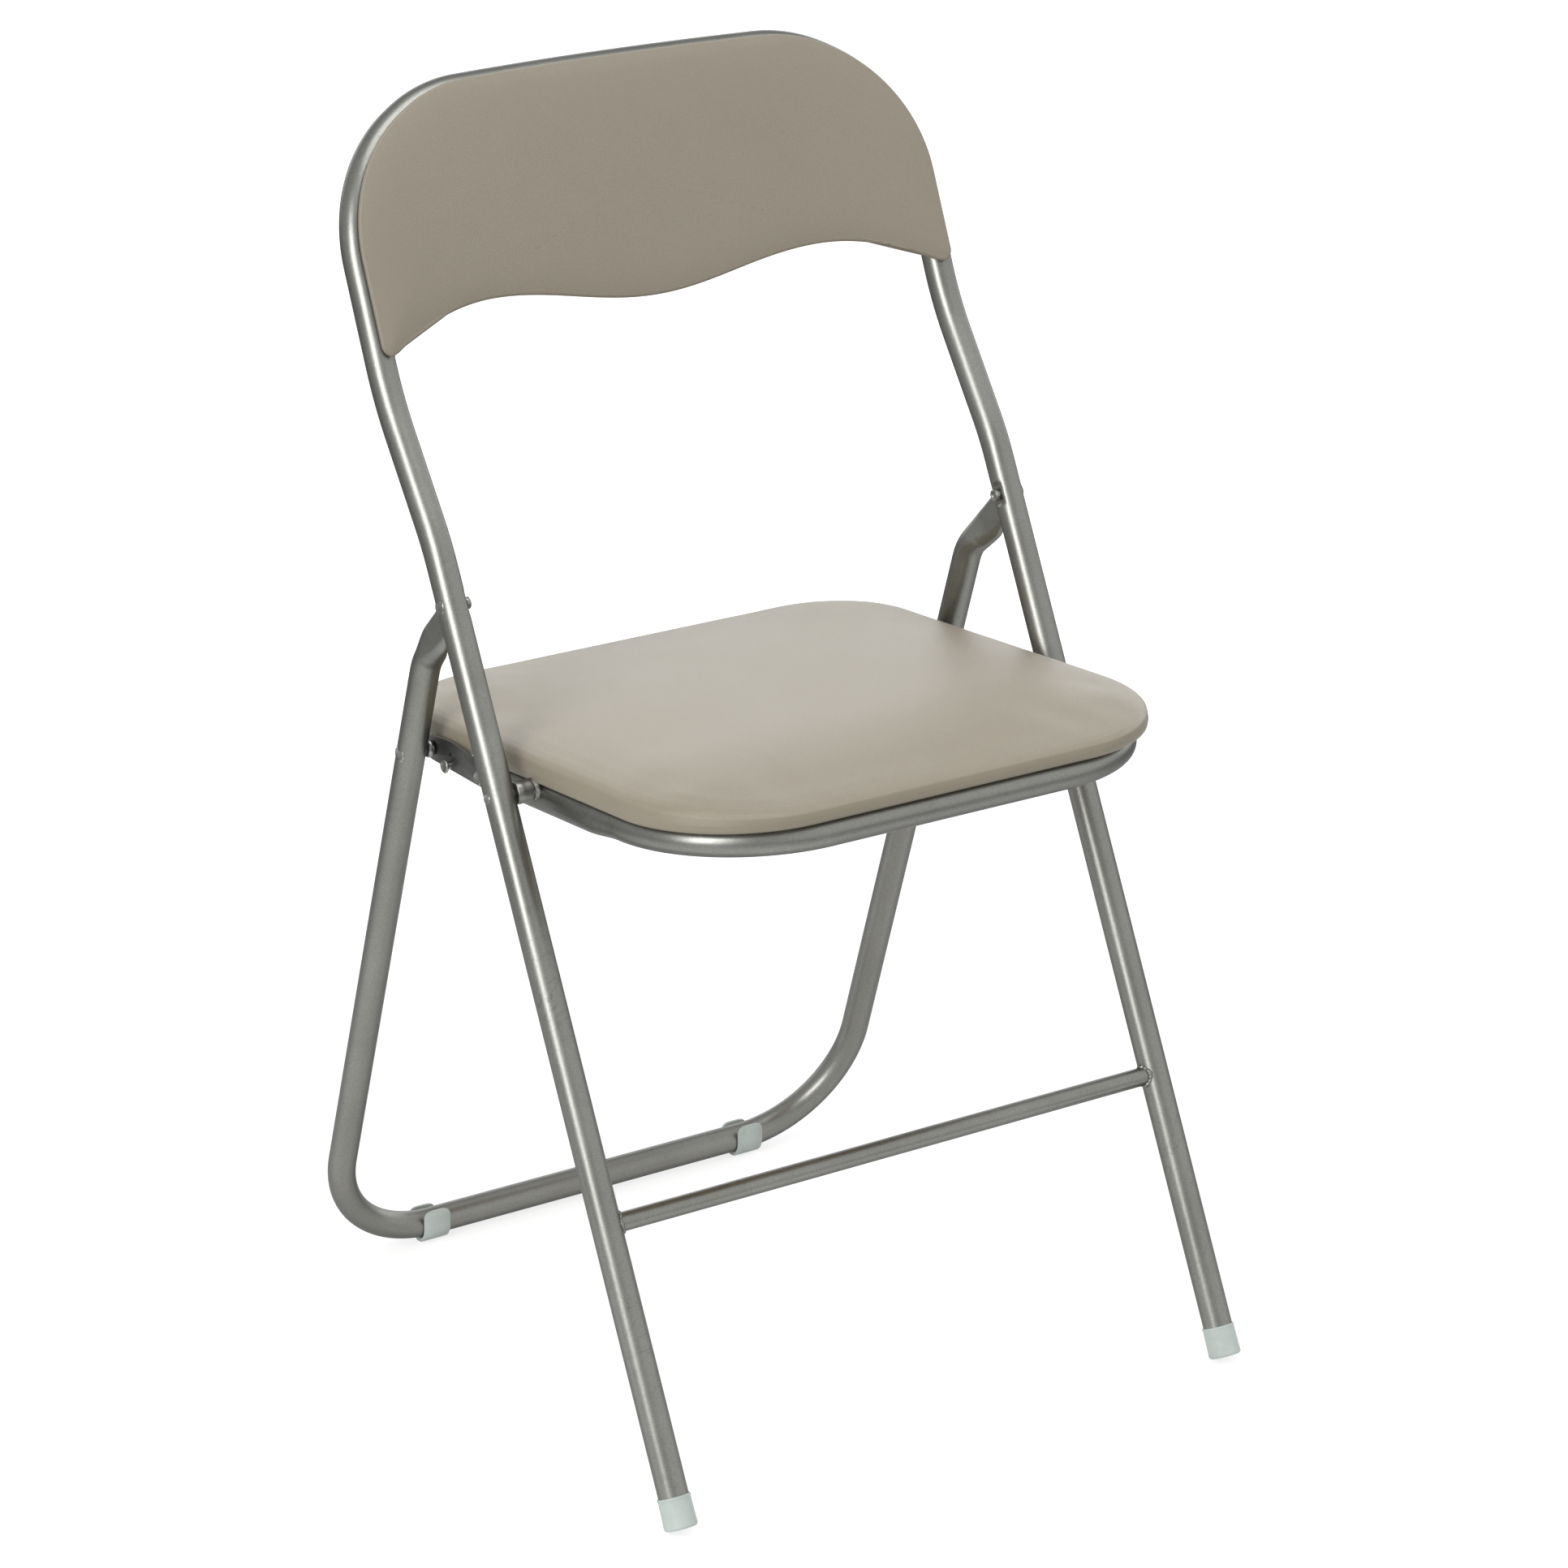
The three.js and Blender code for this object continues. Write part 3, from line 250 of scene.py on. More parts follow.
def solid(name: str, rings: Array, ends: Ends = Ends.CAPPED, sharp: float = 35.0) -> Object:
    """Closed surface through rings of points, its faces turned outwards.

    Args:
        name: Name of the object.
        rings: Array of ring, point around the ring, coordinate, in millimetres.
        ends: Whether the outer rings get a cap or run on into each other.
        sharp: Degrees over which an edge is sharp.

    Returns:
        The new object.
    """
    rows, around = rings.shape[:2]
    points = rings.reshape(-1, 3)
    last = rows if ends is Ends.LOOPED else rows - 1
    i, j = np.meshgrid(np.arange(last), np.arange(around), indexing="ij")
    here, there = i * around, ((i + 1) % rows) * around
    beside = (j + 1) % around
    quads = np.stack([here + j, here + beside, there + beside, there + j], axis=-1).reshape(-1, 4)
    triangles = np.empty((0, 3), int)
    if ends is Ends.CAPPED:
        k = np.arange(around)
        beside = (k + 1) % around
        poles = len(points) + np.array([0, 1])
        points = np.vstack([points, rings[0].mean(axis=0), rings[-1].mean(axis=0)])
        foot = np.stack([beside, k, np.full(around, poles[0])], axis=1)
        top = (rows - 1) * around
        head = np.stack([top + k, top + beside, np.full(around, poles[1])], axis=1)
        triangles = np.vstack([foot, head])
    halves = np.vstack([quads[:, [0, 1, 2]], quads[:, [0, 2, 3]], triangles])
    if signed_volume(points, halves) < 0:
        quads, triangles = quads[:, ::-1], triangles[:, ::-1]
    mesh = bpy.data.meshes.new(name)
    mesh.from_pydata((points * MM).tolist(), [], quads.tolist() + triangles.tolist())
    mesh.update()
    finish_mesh(mesh, sharp)
    return put_object(name, mesh)


def carve(obj: Object, cutters: Sequence[Object], sharp: float = 35.0) -> None:
    """Cuts closed shapes out of a piece and then removes them.

    Args:
        obj: The piece, whose mesh is replaced.
        cutters: Closed objects to take away from it.
        sharp: Degrees over which an edge is sharp.
    """
    for cutter in cutters:
        cut = obj.modifiers.new("cut", "BOOLEAN")
        cut.operation = "DIFFERENCE"
        cut.solver = "EXACT"
        cut.object = cutter
    mesh = settled(obj)
    obj.modifiers.clear()
    obj.data = mesh
    finish_mesh(mesh, sharp)
    for cutter in cutters:
        bpy.data.objects.remove(cutter)


def weigh(obj: Object, name: str, weights: Array) -> None:
    """Puts a vertex group on a piece, its weights rounded to sixteenths.

    Args:
        obj: The piece.
        name: Name of the group.
        weights: Weight of each point.
    """
    group = obj.vertex_groups.new(name=name)
    levels = np.round(np.clip(weights, 0, 1) * 16).astype(int)
    for level in range(1, 17):
        group.add(np.flatnonzero(levels == level).tolist(), level / 16, "REPLACE")


def read_points(mesh: bpy.types.Mesh) -> Array:
    """Points of a mesh in millimetres.

    Args:
        mesh: The mesh.

    Returns:
        Rows of x, y, z.
    """
    points = np.empty(3 * len(mesh.vertices))
    mesh.vertices.foreach_get("co", points)
    return points.reshape(-1, 3) / MM


def settled(obj: Object) -> bpy.types.Mesh:
    """New mesh of a piece with its modifiers carried out."""
    depsgraph = bpy.context.evaluated_depsgraph_get()
    return bpy.data.meshes.new_from_object(obj.evaluated_get(depsgraph))


def carried(points: Array, places: Array, moves: Array, spread: float) -> Array:
    """Moves at some points, carried over from places near them.

    Each is the mean of all the moves, one at distance d weighing exp(-(d / spread)^2 / 2).

    Args:
        points: Points to find the move of.
        places: Places whose moves are known.
        moves: Moves at those places.
        spread: How far a place has an effect, in millimetres.

    Returns:
        One move for each point.
    """
    found = []
    for some in np.array_split(points.astype(np.float32), 24):
        apart = (some**2).sum(axis=1)[:, None] + (places**2).sum(axis=1) - 2 * some @ places.T
        weight = np.exp(-np.maximum(apart, 0) / (2 * spread**2))
        found.append(weight @ moves / (weight.sum(axis=1, keepdims=True) + 1e-9))
    return np.vstack(found)


def swell(obj: Object, free: Callable[[Array], Array], voxel: float, reach: float,
          spread: float, pressure: float = 4.0, frames: int = 20) -> None:
    """Swells a padded piece by a cloth simulation.

    An evenly remeshed copy is blown up with gravity off. Every point of it then keeps
    move / (1 + |move| / reach) of its move, and the piece's points take on the moves near them
    by the share that they are free.

    Args:
        obj: The piece, whose points are moved.
        free: Share from 0, fastened, to 1, free, for points in millimetres.
        voxel: Cell size of the copy in millimetres.
        reach: Farthest that a point moves, in millimetres.
        spread: How far a move of the copy is spread over the piece, in millimetres.
        pressure: Pressure inside the cover.
        frames: Frames that the simulation runs for.
    """
    scene = bpy.context.scene
    copy = put_object(f"{obj.name}_form", obj.data.copy())
    even = copy.modifiers.new("even", "REMESH")
    even.mode, even.voxel_size = "VOXEL", voxel * MM
    copy.data = settled(copy)
    copy.modifiers.clear()
    start = read_points(copy.data)
    weigh(copy, "held", (free(start) < 0.5).astype(float))
    cloth = copy.modifiers.new("cover", "CLOTH")
    cloth.settings.vertex_group_mass = "held"
    cloth.settings.bending_stiffness = 5.0
    cloth.settings.use_pressure = True
    cloth.settings.uniform_pressure_force = pressure
    cloth.settings.effector_weights.gravity = 0.0
    cloth.point_cache.frame_start, cloth.point_cache.frame_end = 1, frames
    for number in range(1, frames + 1):
        scene.frame_set(number)
    move = read_points(settled(copy)) - start
    scene.frame_set(1)
    length = np.linalg.norm(move, axis=1, keepdims=True)
    kept = move / (1 + length / reach)
    own = read_points(obj.data)
    shift = carried(own, start, kept, spread) * free(own)[:, None]
    LOG.info("%s swells: up to %.1f mm in the simulation, %.1f mm kept", obj.name,
             float(length.max()), float(np.linalg.norm(shift, axis=1).max()))
    obj.data.vertices.foreach_set("co", ((own + shift) * MM).ravel())
    obj.data.update()
    bpy.data.objects.remove(copy)


def sections(path: Array, hint: Array, inset: float, sides: int, relief: Relief | None) -> Array:
    """Rings of a tube whose section has two flat sides, and is round where both half sizes match.

    Across is the tangent crossed with the hint, up is across crossed with the tangent. A point at
    angle t is the station plus across * a cos t plus up * (a sin t + sign(sin t) * (b - a)), and
    the relief moves it along (cos t, sin t).

    Args:
        path: Stations with columns x, y, z, half thickness a, half width b.
        hint: Direction that the path never runs along.
        inset: How much smaller the section is, for the inside of a wall.
        sides: Points around a ring.
        relief: Offset outwards from the distances along the path and the angles, or None.

    Returns:
        Array of station, point, coordinate.
    """
    centre = path[:, :3]
    steps = unit(np.diff(centre, axis=0))
    tangent = unit(np.vstack([steps[:1], steps[:-1] + steps[1:], steps[-1:]]))
    across = unit(np.cross(tangent, hint))
    up = np.cross(across, tangent)
    a = np.maximum(path[:, 3] - inset, 0.2)[:, None]
    b = np.maximum(path[:, 4][:, None] - inset, a)
    t = ((np.arange(sides) + 0.5) * 2 * math.pi / sides)[None]
    lift = relief(lengths_along(path)[:, None], t) if relief else np.zeros((len(path), sides))
    sideways = (a + lift) * np.cos(t)
    upwards = (a + lift) * np.sin(t) + np.sign(np.sin(t)) * (b - a)
    return (centre[:, None] + sideways[..., None] * across[:, None] + upwards[..., None] * up[:, None])


def tube(name: str, path: Array, hint: Array, wall: float, sides: int = TUBE_SIDES,
         relief: Relief | None = None) -> Object:
    """Tube with a wall: the outer skin, then the inner one back again, closed into a loop.

    Args:
        name: Name of the object.
        path: Stations with columns x, y, z, half thickness, half width.
        hint: Direction that the path never runs along.
        wall: Thickness of the wall.
        sides: Points around a ring.
        relief: Offset of both skins, or None.

    Returns:
        The new object.
    """
    outer = sections(path, hint, 0.0, sides, relief)
    inner = sections(path, hint, wall, sides, relief)[::-1]
    return solid(name, np.concatenate([outer, inner]), Ends.LOOPED)


def lathe(profile: Array, centre: Array, axis: Array, sides: int = TURNED_SIDES) -> Array:
    """Rings of a turned shape: centre + axis * h + r * (cos t along e1 + sin t along e2).

    Args:
        profile: Rows of radius r and height h.
        centre: Point on the axis at height 0.
        axis: Direction of the axis.
        sides: Points around a ring.

    Returns:
        Array of profile row, point, coordinate.
    """
    axis = unit(axis)
    e1 = unit(np.cross(axis, vec(0.3, 0.9, 0.2)))
    e2 = np.cross(axis, e1)
    t = np.arange(sides) * 2 * math.pi / sides
    spokes = np.cos(t)[:, None] * e1 + np.sin(t)[:, None] * e2
    r, h = profile[:, 0], profile[:, 1]
    return centre + h[:, None, None] * axis + r[:, None, None] * spokes[None]


def cylinder(a: Array, b: Array, radius: float, sides: int = TURNED_SIDES) -> Object:
    """A plain closed cylinder between two points, for cutting holes."""
    profile = np.array([[radius, 0.0], [radius, float(np.linalg.norm(b - a))]])
    return solid("cutter", lathe(profile, a, b - a, sides))


def block(centre: Array, axes: Sequence[Array], half: Sequence[float]) -> Object:
    """A closed box, for cutting slots.

    Args:
        centre: Its middle.
        axes: Its three directions.
        half: Half its size along each.

    Returns:
        The box.
    """
    corners = np.array([[-1, -1], [1, -1], [1, 1], [-1, 1]], float)
    flat = corners[:, :1] * half[0] * axes[0] + corners[:, 1:] * half[1] * axes[1]
    rings = np.stack([centre + flat - half[2] * axes[2], centre + flat + half[2] * axes[2]])
    return solid("cutter", rings)


# Shader nodes
def place(tree: Tree, kind: str, settings: dict[str, object] | None = None,
          feeds: dict[str | int, object] | None = None) -> bpy.types.Node:
    """Adds a shader node.

    Args:
        tree: Node tree to add it to.
        kind: Node type, without its ShaderNode prefix.
        settings: Properties of the node.
        feeds: What goes into its inputs, by name or number: a value, or another node's output.

    Returns:
        The new node.
    """
    node = tree.nodes.new("ShaderNode" + kind)
    for key, value in (settings or {}).items():
        setattr(node, key, value)
    for key, value in (feeds or {}).items():
        if isinstance(value, Socket):
            tree.links.new(value, node.inputs[key])
        else:
            node.inputs[key].default_value = value
    return node


def maths(tree: Tree, operation: str, a: object, b: object = 0.5) -> Socket:
    """Output of a Math node with that operation on a and b."""
    return place(tree, "Math", {"operation": operation}, {0: a, 1: b}).outputs[0]


def times(tree: Tree, a: object, b: object) -> Socket:
    """Product of a and b."""
    return maths(tree, "MULTIPLY", a, b)


def dot(tree: Tree, a: object, b: object) -> Socket:
    """Dot product of two directions."""
    return place(tree, "VectorMath", {"operation": "DOT_PRODUCT"}, {0: a, 1: b}).outputs["Value"]


def remap(tree: Tree, value: object, old: Span, new: Span = (0.0, 1.0)) -> Socket:
    """Output of a Map Range node from the old range to the new one, kept inside it."""
    feeds = {"Value": value, 1: old[0], 2: old[1], 3: new[0], 4: new[1]}
    return place(tree, "MapRange", {"clamp": True}, feeds).outputs[0]


def noise(tree: Tree, vector: Socket, scale: object, detail: float) -> Socket:
    """Height of a Noise texture of that scale and detail."""
    feeds = {"Vector": vector, "Scale": scale, "Detail": detail}
    return place(tree, "TexNoise", None, feeds).outputs["Fac"]


def stretched(tree: Tree, vector: Socket, scale: Colour, turn: Colour = (0.0, 0.0, 0.0)) -> Socket:
    """The vector as seen by a texture that is turned and stretched."""
    feeds = {"Vector": vector, "Rotation": turn, "Scale": scale}
    return place(tree, "Mapping", {"vector_type": "TEXTURE"}, feeds).outputs[0]


def blend_colours(tree: Tree, share: object, a: object, b: object, kind: str = "MIX") -> Socket:
    """Colour that goes from a to b with the share."""
    settings = {"data_type": "RGBA", "blend_type": kind}
    return place(tree, "Mix", settings, {0: share, 6: a, 7: b}).outputs[2]


def rgba(colour: Colour, strength: float = 1.0) -> tuple[float, float, float, float]:
    """A colour times a strength, at most one and with full alpha, for a node's socket."""
    return (*(min(1.0, strength * channel) for channel in colour), 1.0)


def new_group(name: str, inputs: dict[str, str], outputs: dict[str, str]) -> tuple:
    """Starts a shader node group with named sockets.

    Args:
        name: Name of the group.
        inputs: Socket type by input name.
        outputs: Socket type by output name.

    Returns:
        The tree, what it is given and what it makes.
    """
    tree = bpy.data.node_groups.new(name, "ShaderNodeTree")
    for key, kind in inputs.items():
        tree.interface.new_socket(key, in_out="INPUT", socket_type="NodeSocket" + kind)
    for key, kind in outputs.items():
        tree.interface.new_socket(key, in_out="OUTPUT", socket_type="NodeSocket" + kind)
    given, made = tree.nodes.new("NodeGroupInput"), tree.nodes.new("NodeGroupOutput")
    return tree, given.outputs, made.inputs


class Effects:
    """Shader groups that several finishes share, each built once."""

    def __init__(self) -> None:
        """Builds every group."""
        self.mottle = self._mottle()
        self.scuffs = self._scuffs()
        self.grain = self._grain()
        self.flake = self._flake()

    @staticmethod
    def _mottle() -> Tree:
        """Cloudy change between two colours, from two sizes of noise.

        Returns:
            The shader group.
        """
        inputs = {"Vector": "Vector", "Scale": "Float", "Light": "Color", "Dark": "Color"}
        tree, given, made = new_group("cloudy_tone", inputs, {"Color": "Color", "Mask": "Float"})
        wide = noise(tree, given["Vector"], given["Scale"], 2.0)
        small = noise(tree, given["Vector"], times(tree, given["Scale"], 9.0), 3.0)
        both = maths(tree, "ADD", times(tree, wide, 0.75), times(tree, small, 0.25))
        mask = remap(tree, both, (0.36, 0.64))
        colour = blend_colours(tree, mask, given["Dark"], given["Light"])
        tree.links.new(colour, made["Color"])
        tree.links.new(mask, made["Mask"])
        return tree

    @staticmethod
    def _scuffs() -> Tree:
        """Sparse thin rub marks: the narrow middle band of a stretched noise, in patches.

        Returns:
            The shader group.
        """
        tree, given, made = new_group("rub_marks", TEXTURE_INPUTS, {"Mask": "Float"})
        long_way = stretched(tree, given["Vector"], (6.0, 1.0, 1.6), (0.5, 0.25, 0.7))
        lines = noise(tree, long_way, given["Scale"], 4.0)
        off = maths(tree, "ABSOLUTE", maths(tree, "SUBTRACT", lines, 0.5))
        thin = remap(tree, off, (0.0, 0.012), (1.0, 0.0))
        patches = noise(tree, given["Vector"], times(tree, given["Scale"], 0.12), 1.0)
        tree.links.new(times(tree, thin, remap(tree, patches, (0.55, 0.68))), made["Mask"])
        return tree

    @staticmethod
    def _grain() -> Tree:
        """Leather-like pebbles: rounded cells whose borders are creases, over a fine tooth.

        Returns:
            The shader group.
        """
        outputs = {"Height": "Float", "Crease": "Float"}
        tree, given, made = new_group("vinyl_grain", TEXTURE_INPUTS, outputs)
        warp = place(tree, "TexNoise", None, {
            "Vector": given["Vector"], "Scale": times(tree, given["Scale"], 0.5), "Detail": 1.0,
        })
        push = place(tree, "VectorMath", {"operation": "MULTIPLY_ADD"}, {
            0: warp.outputs["Color"], 1: (0.0008, 0.0008, 0.0008), 2: given["Vector"],
        })
        cells = place(tree, "TexVoronoi", {"feature": "DISTANCE_TO_EDGE"}, {
            "Vector": push.outputs[0], "Scale": given["Scale"],
        })
        pebble = remap(tree, cells.outputs["Distance"], (0.0, 0.28))
        tooth = noise(tree, given["Vector"], times(tree, given["Scale"], 4.0), 2.0)
        height = maths(tree, "ADD", times(tree, pebble, 0.8), times(tree, tooth, 0.3))
        tree.links.new(height, made["Height"])
        tree.links.new(maths(tree, "SUBTRACT", 1.0, pebble), made["Crease"])
        return tree

    @staticmethod
    def _flake() -> Tree:
        """Metal flakes in paint: cells of chance brightness, over a soft orange-peel height.

        Returns:
            The shader group.
        """
        outputs = {"Glint": "Float", "Height": "Float"}
        tree, given, made = new_group("metal_flake", TEXTURE_INPUTS, outputs)
        feeds = {"Vector": given["Vector"], "Scale": given["Scale"]}
        cells = place(tree, "TexVoronoi", {"feature": "F1"}, feeds)
        glint = place(tree, "SeparateColor", None, {0: cells.outputs["Color"]})
        peel = noise(tree, given["Vector"], times(tree, given["Scale"], 0.14), 2.0)
        tree.links.new(glint.outputs[0], made["Glint"])
        tree.links.new(peel, made["Height"])
        return tree


def use_group(tree: Tree, group: Tree, feeds: dict) -> bpy.types.Node:
    """Places a shader group in a material and feeds its inputs."""
    return place(tree, "Group", {"node_tree": group}, feeds)


# Finishes
@dataclass(frozen=True)
class Finish:
    """What every finish has: its name, its record slot and the two ends of its tone.

    Attributes:
        name: Name of the material.
        slot: The record's material slot.
        light: Lighter tone.
        dark: Darker tone.
        roughness: Mean roughness.
    """

    name: str
    slot: str
    light: Colour
    dark: Colour
    roughness: float

    def start(self) -> tuple:
        """Makes the empty material.

        Returns:
            The material, its tree, its shader node and the output of the object coordinates.
        """
        material = bpy.data.materials.new(self.name)
        material.use_nodes = True
        tree = material.node_tree
        shader = tree.nodes["Principled BSDF"]
        material.diffuse_color = rgba(self.light)
        return material, tree, shader, place(tree, "TexCoord").outputs["Object"]

    def clouds(self, tree: Tree, effects: Effects, where: Socket, scale: float) -> dict:
        """Colour and mask of clouds between the finish's two tones, so many per metre."""
        feeds = {"Vector": where, "Scale": scale, "Light": rgba(self.light), "Dark": rgba(self.dark)}
        return use_group(tree, effects.mottle, feeds).outputs

    def marks(self, tree: Tree, effects: Effects, where: Socket, scale: float, most: float) -> Socket:
        """Mask of rub marks of that scale, which reaches the given value at most."""
        node = use_group(tree, effects.scuffs, {"Vector": where, "Scale": scale})
        return times(tree, node.outputs["Mask"], most)

    def roughen(self, shader: bpy.types.Node, value: Socket, old: Span, less: float, more: float) -> None:
        """Lets the roughness follow a value, from less under its mean to more over it."""
        new = (self.roughness - less, self.roughness + more)
        shader.id_data.links.new(remap(shader.id_data, value, old, new), shader.inputs["Roughness"])

    def bump(self, shader: bpy.types.Node, height: Socket, depth: float) -> None:
        """Feeds a height, that deep in metres, to the shader's normal."""
        node = place(shader.id_data, "Bump", None, {"Height": height, "Distance": depth})
        shader.id_data.links.new(node.outputs[0], shader.inputs["Normal"])


@dataclass(frozen=True)
class SatinPaint(Finish):
    """Silver metal-flake paint, with painted shade where it is seen edge on.

    Attributes:
        edge: Tone of the painted shade towards grazing angles, also the tone of rub marks.
        flake_scale: Flakes per metre.
        peel_depth: Depth of the orange peel in metres.
        coat: Weight of the clear top layer.
    """

    # Painted shade: the dark tone that the paint goes to where it is seen edge on; rub marks use it too.
    edge: Colour = (0.05, 0.05, 0.044)
    flake_scale: float = 2600.0
    peel_depth: float = 0.00003
    coat: float = 0.08

    def build(self, effects: Effects) -> Material:
        """Makes the material.

        Args:
            effects: The shared shader groups.

        Returns:
            The material.
        """
        material, tree, shader, where = self.start()
        clouds = self.clouds(tree, effects, where, 14.0)
        flake = use_group(tree, effects.flake, {"Vector": where, "Scale": self.flake_scale})
        glint = remap(tree, flake.outputs["Glint"], (0.0, 1.0), (0.86, 1.14))
        sparkle = blend_colours(tree, 1.0, clouds["Color"], glint, "MULTIPLY")
        # Painted shade: the base colour darkens to the edge tone towards grazing angles.
        facing = place(tree, "LayerWeight", None, {"Blend": 0.5}).outputs["Facing"]
        rim = remap(tree, facing, (0.32, 0.86))
        worn = self.marks(tree, effects, where, 60.0, 0.25)
        body = blend_colours(tree, rim, sparkle, rgba(self.edge))
        tree.links.new(blend_colours(tree, worn, body, rgba(self.edge)), shader.inputs["Base Color"])
        self.roughen(shader, clouds["Mask"], (0.0, 1.0), 0.03, 0.03)
        shader.inputs["Metallic"].default_value = 0.95
        shader.inputs["Coat Weight"].default_value = self.coat
        shader.inputs["Coat Roughness"].default_value = 0.22
        self.bump(shader, flake.outputs["Height"], self.peel_depth)
        return material


@dataclass(frozen=True)
class PlatedSteel(Finish):
    """Zinc or bare steel of a fastener or link, with turning or rolling marks.

    Attributes:
        brush_scale: Lines per metre of the brushed grain.
        grain_depth: Depth of that grain in metres.
    """

    brush_scale: float = 900.0
    grain_depth: float = 0.00002

    def build(self, effects: Effects) -> Material:
        """Makes the material.

        Args:
            effects: The shared shader groups.

        Returns:
            The material.
        """
        material, tree, shader, where = self.start()
        tone = self.clouds(tree, effects, where, 70.0)["Color"]
        worn = self.marks(tree, effects, where, 220.0, 0.5)
        tree.links.new(blend_colours(tree, worn, tone, rgba(self.light)), shader.inputs["Base Color"])
        brush = noise(tree, stretched(tree, where, (1.0, 14.0, 14.0)), self.brush_scale, 3.0)
        self.roughen(shader, brush, (0.3, 0.7), 0.05, 0.07)
        shader.inputs["Metallic"].default_value = 1.0
        self.bump(shader, brush, self.grain_depth)
        return material


@dataclass(frozen=True)
class Vinyl(Finish):
    """Upholstery vinyl with a fine pebbled grain, painted shade in its creases, rubbed a little smoother in
    places.

    Attributes:
        grain_scale: Pebbles per metre.
        grain_depth: Depth of the grain in metres.
        cloud_scale: Clouds of tone per metre.
    """

    grain_scale: float = 1150.0
    grain_depth: float = 0.00009
    cloud_scale: float = 7.0

    def build(self, effects: Effects) -> Material:
        """Makes the material.

        Args:
            effects: The shared shader groups.

        Returns:
            The material.
        """
        material, tree, shader, where = self.start()
        clouds = self.clouds(tree, effects, where, self.cloud_scale)
        grain = use_group(tree, effects.grain, {"Vector": where, "Scale": self.grain_scale})
        # Painted shade: the grain's creases are darkened towards the dark tone.
        crease_shade_mask = times(tree, grain.outputs["Crease"], 0.22)
        crease_shaded = blend_colours(tree, crease_shade_mask, clouds["Color"], rgba(self.dark, 0.6))
        rubbed = self.marks(tree, effects, where, 26.0, 0.08)
        worn = blend_colours(tree, rubbed, crease_shaded, rgba(self.light, 1.25))
        tree.links.new(worn, shader.inputs["Base Color"])
        self.roughen(shader, clouds["Mask"], (0.0, 1.0), 0.04, 0.05)
        shader.inputs["Specular IOR Level"].default_value = 0.6
        shader.inputs["Sheen Weight"].default_value = 0.06
        shader.inputs["Sheen Roughness"].default_value = 0.5
        self.bump(shader, grain.outputs["Height"], self.grain_depth)
        return material


@dataclass(frozen=True)
class MouldedPlastic(Finish):
    """Moulded plastic with a fine spark-eroded texture and faint flow clouds.

    Attributes:
        texture_scale: Grains of texture per metre.
        texture_depth: Depth of the texture in metres.
    """

    texture_scale: float = 2400.0
    texture_depth: float = 0.00005

    def build(self, effects: Effects) -> Material:
        """Makes the material.

        Args:
            effects: The shared shader groups.

        Returns:
            The material.
        """
        material, tree, shader, where = self.start()
        tone = self.clouds(tree, effects, where, 45.0)["Color"]
        grubby = self.marks(tree, effects, where, 120.0, 0.35)
        soiled = blend_colours(tree, grubby, tone, rgba(self.dark, 0.55))
        tree.links.new(soiled, shader.inputs["Base Color"])
        tooth = noise(tree, where, self.texture_scale, 2.0)
        self.roughen(shader, tooth, (0.3, 0.7), 0.05, 0.08)
        self.bump(shader, tooth, self.texture_depth)
        return material


@dataclass(frozen=True)
class BareBoard(Finish):
    """Bare plywood: long bands of grain with pores, running across the chair.

    Attributes:
        ring_scale: Bands per metre.
        pore_scale: Pores per metre.
        pore_depth: Depth of the pores in metres.
    """

    ring_scale: float = 38.0
    pore_scale: float = 1500.0
    pore_depth: float = 0.00012

    def build(self, effects: Effects) -> Material:
        """Makes the material.

        Args:
            effects: The shared shader groups.

        Returns:
            The material.
        """
        material, tree, shader, where = self.start()
        long_way = stretched(tree, where, (9.0, 1.0, 1.0))
        bands = place(tree, "TexWave", {"bands_direction": "Y"}, {
            "Vector": long_way, "Scale": self.ring_scale, "Distortion": 7.0,
            "Detail": 3.0, "Detail Scale": 1.4,
        })
        pore = remap(tree, noise(tree, long_way, self.pore_scale, 2.0), (0.58, 0.68))
        grain = blend_colours(tree, bands.outputs["Fac"], rgba(self.light), rgba(self.dark))
        tone = use_group(tree, effects.mottle, {
            "Vector": where, "Scale": 12.0, "Light": WHITE, "Dark": rgba((0.82, 0.8, 0.76)),
        })
        clouded = blend_colours(tree, 1.0, grain, tone.outputs["Color"], "MULTIPLY")
        pored = blend_colours(tree, times(tree, pore, 0.6), clouded, rgba(self.dark, 0.5))
        tree.links.new(pored, shader.inputs["Base Color"])
        shader.inputs["Roughness"].default_value = self.roughness
        self.bump(shader, maths(tree, "SUBTRACT", 1.0, pore), self.pore_depth)
        return material


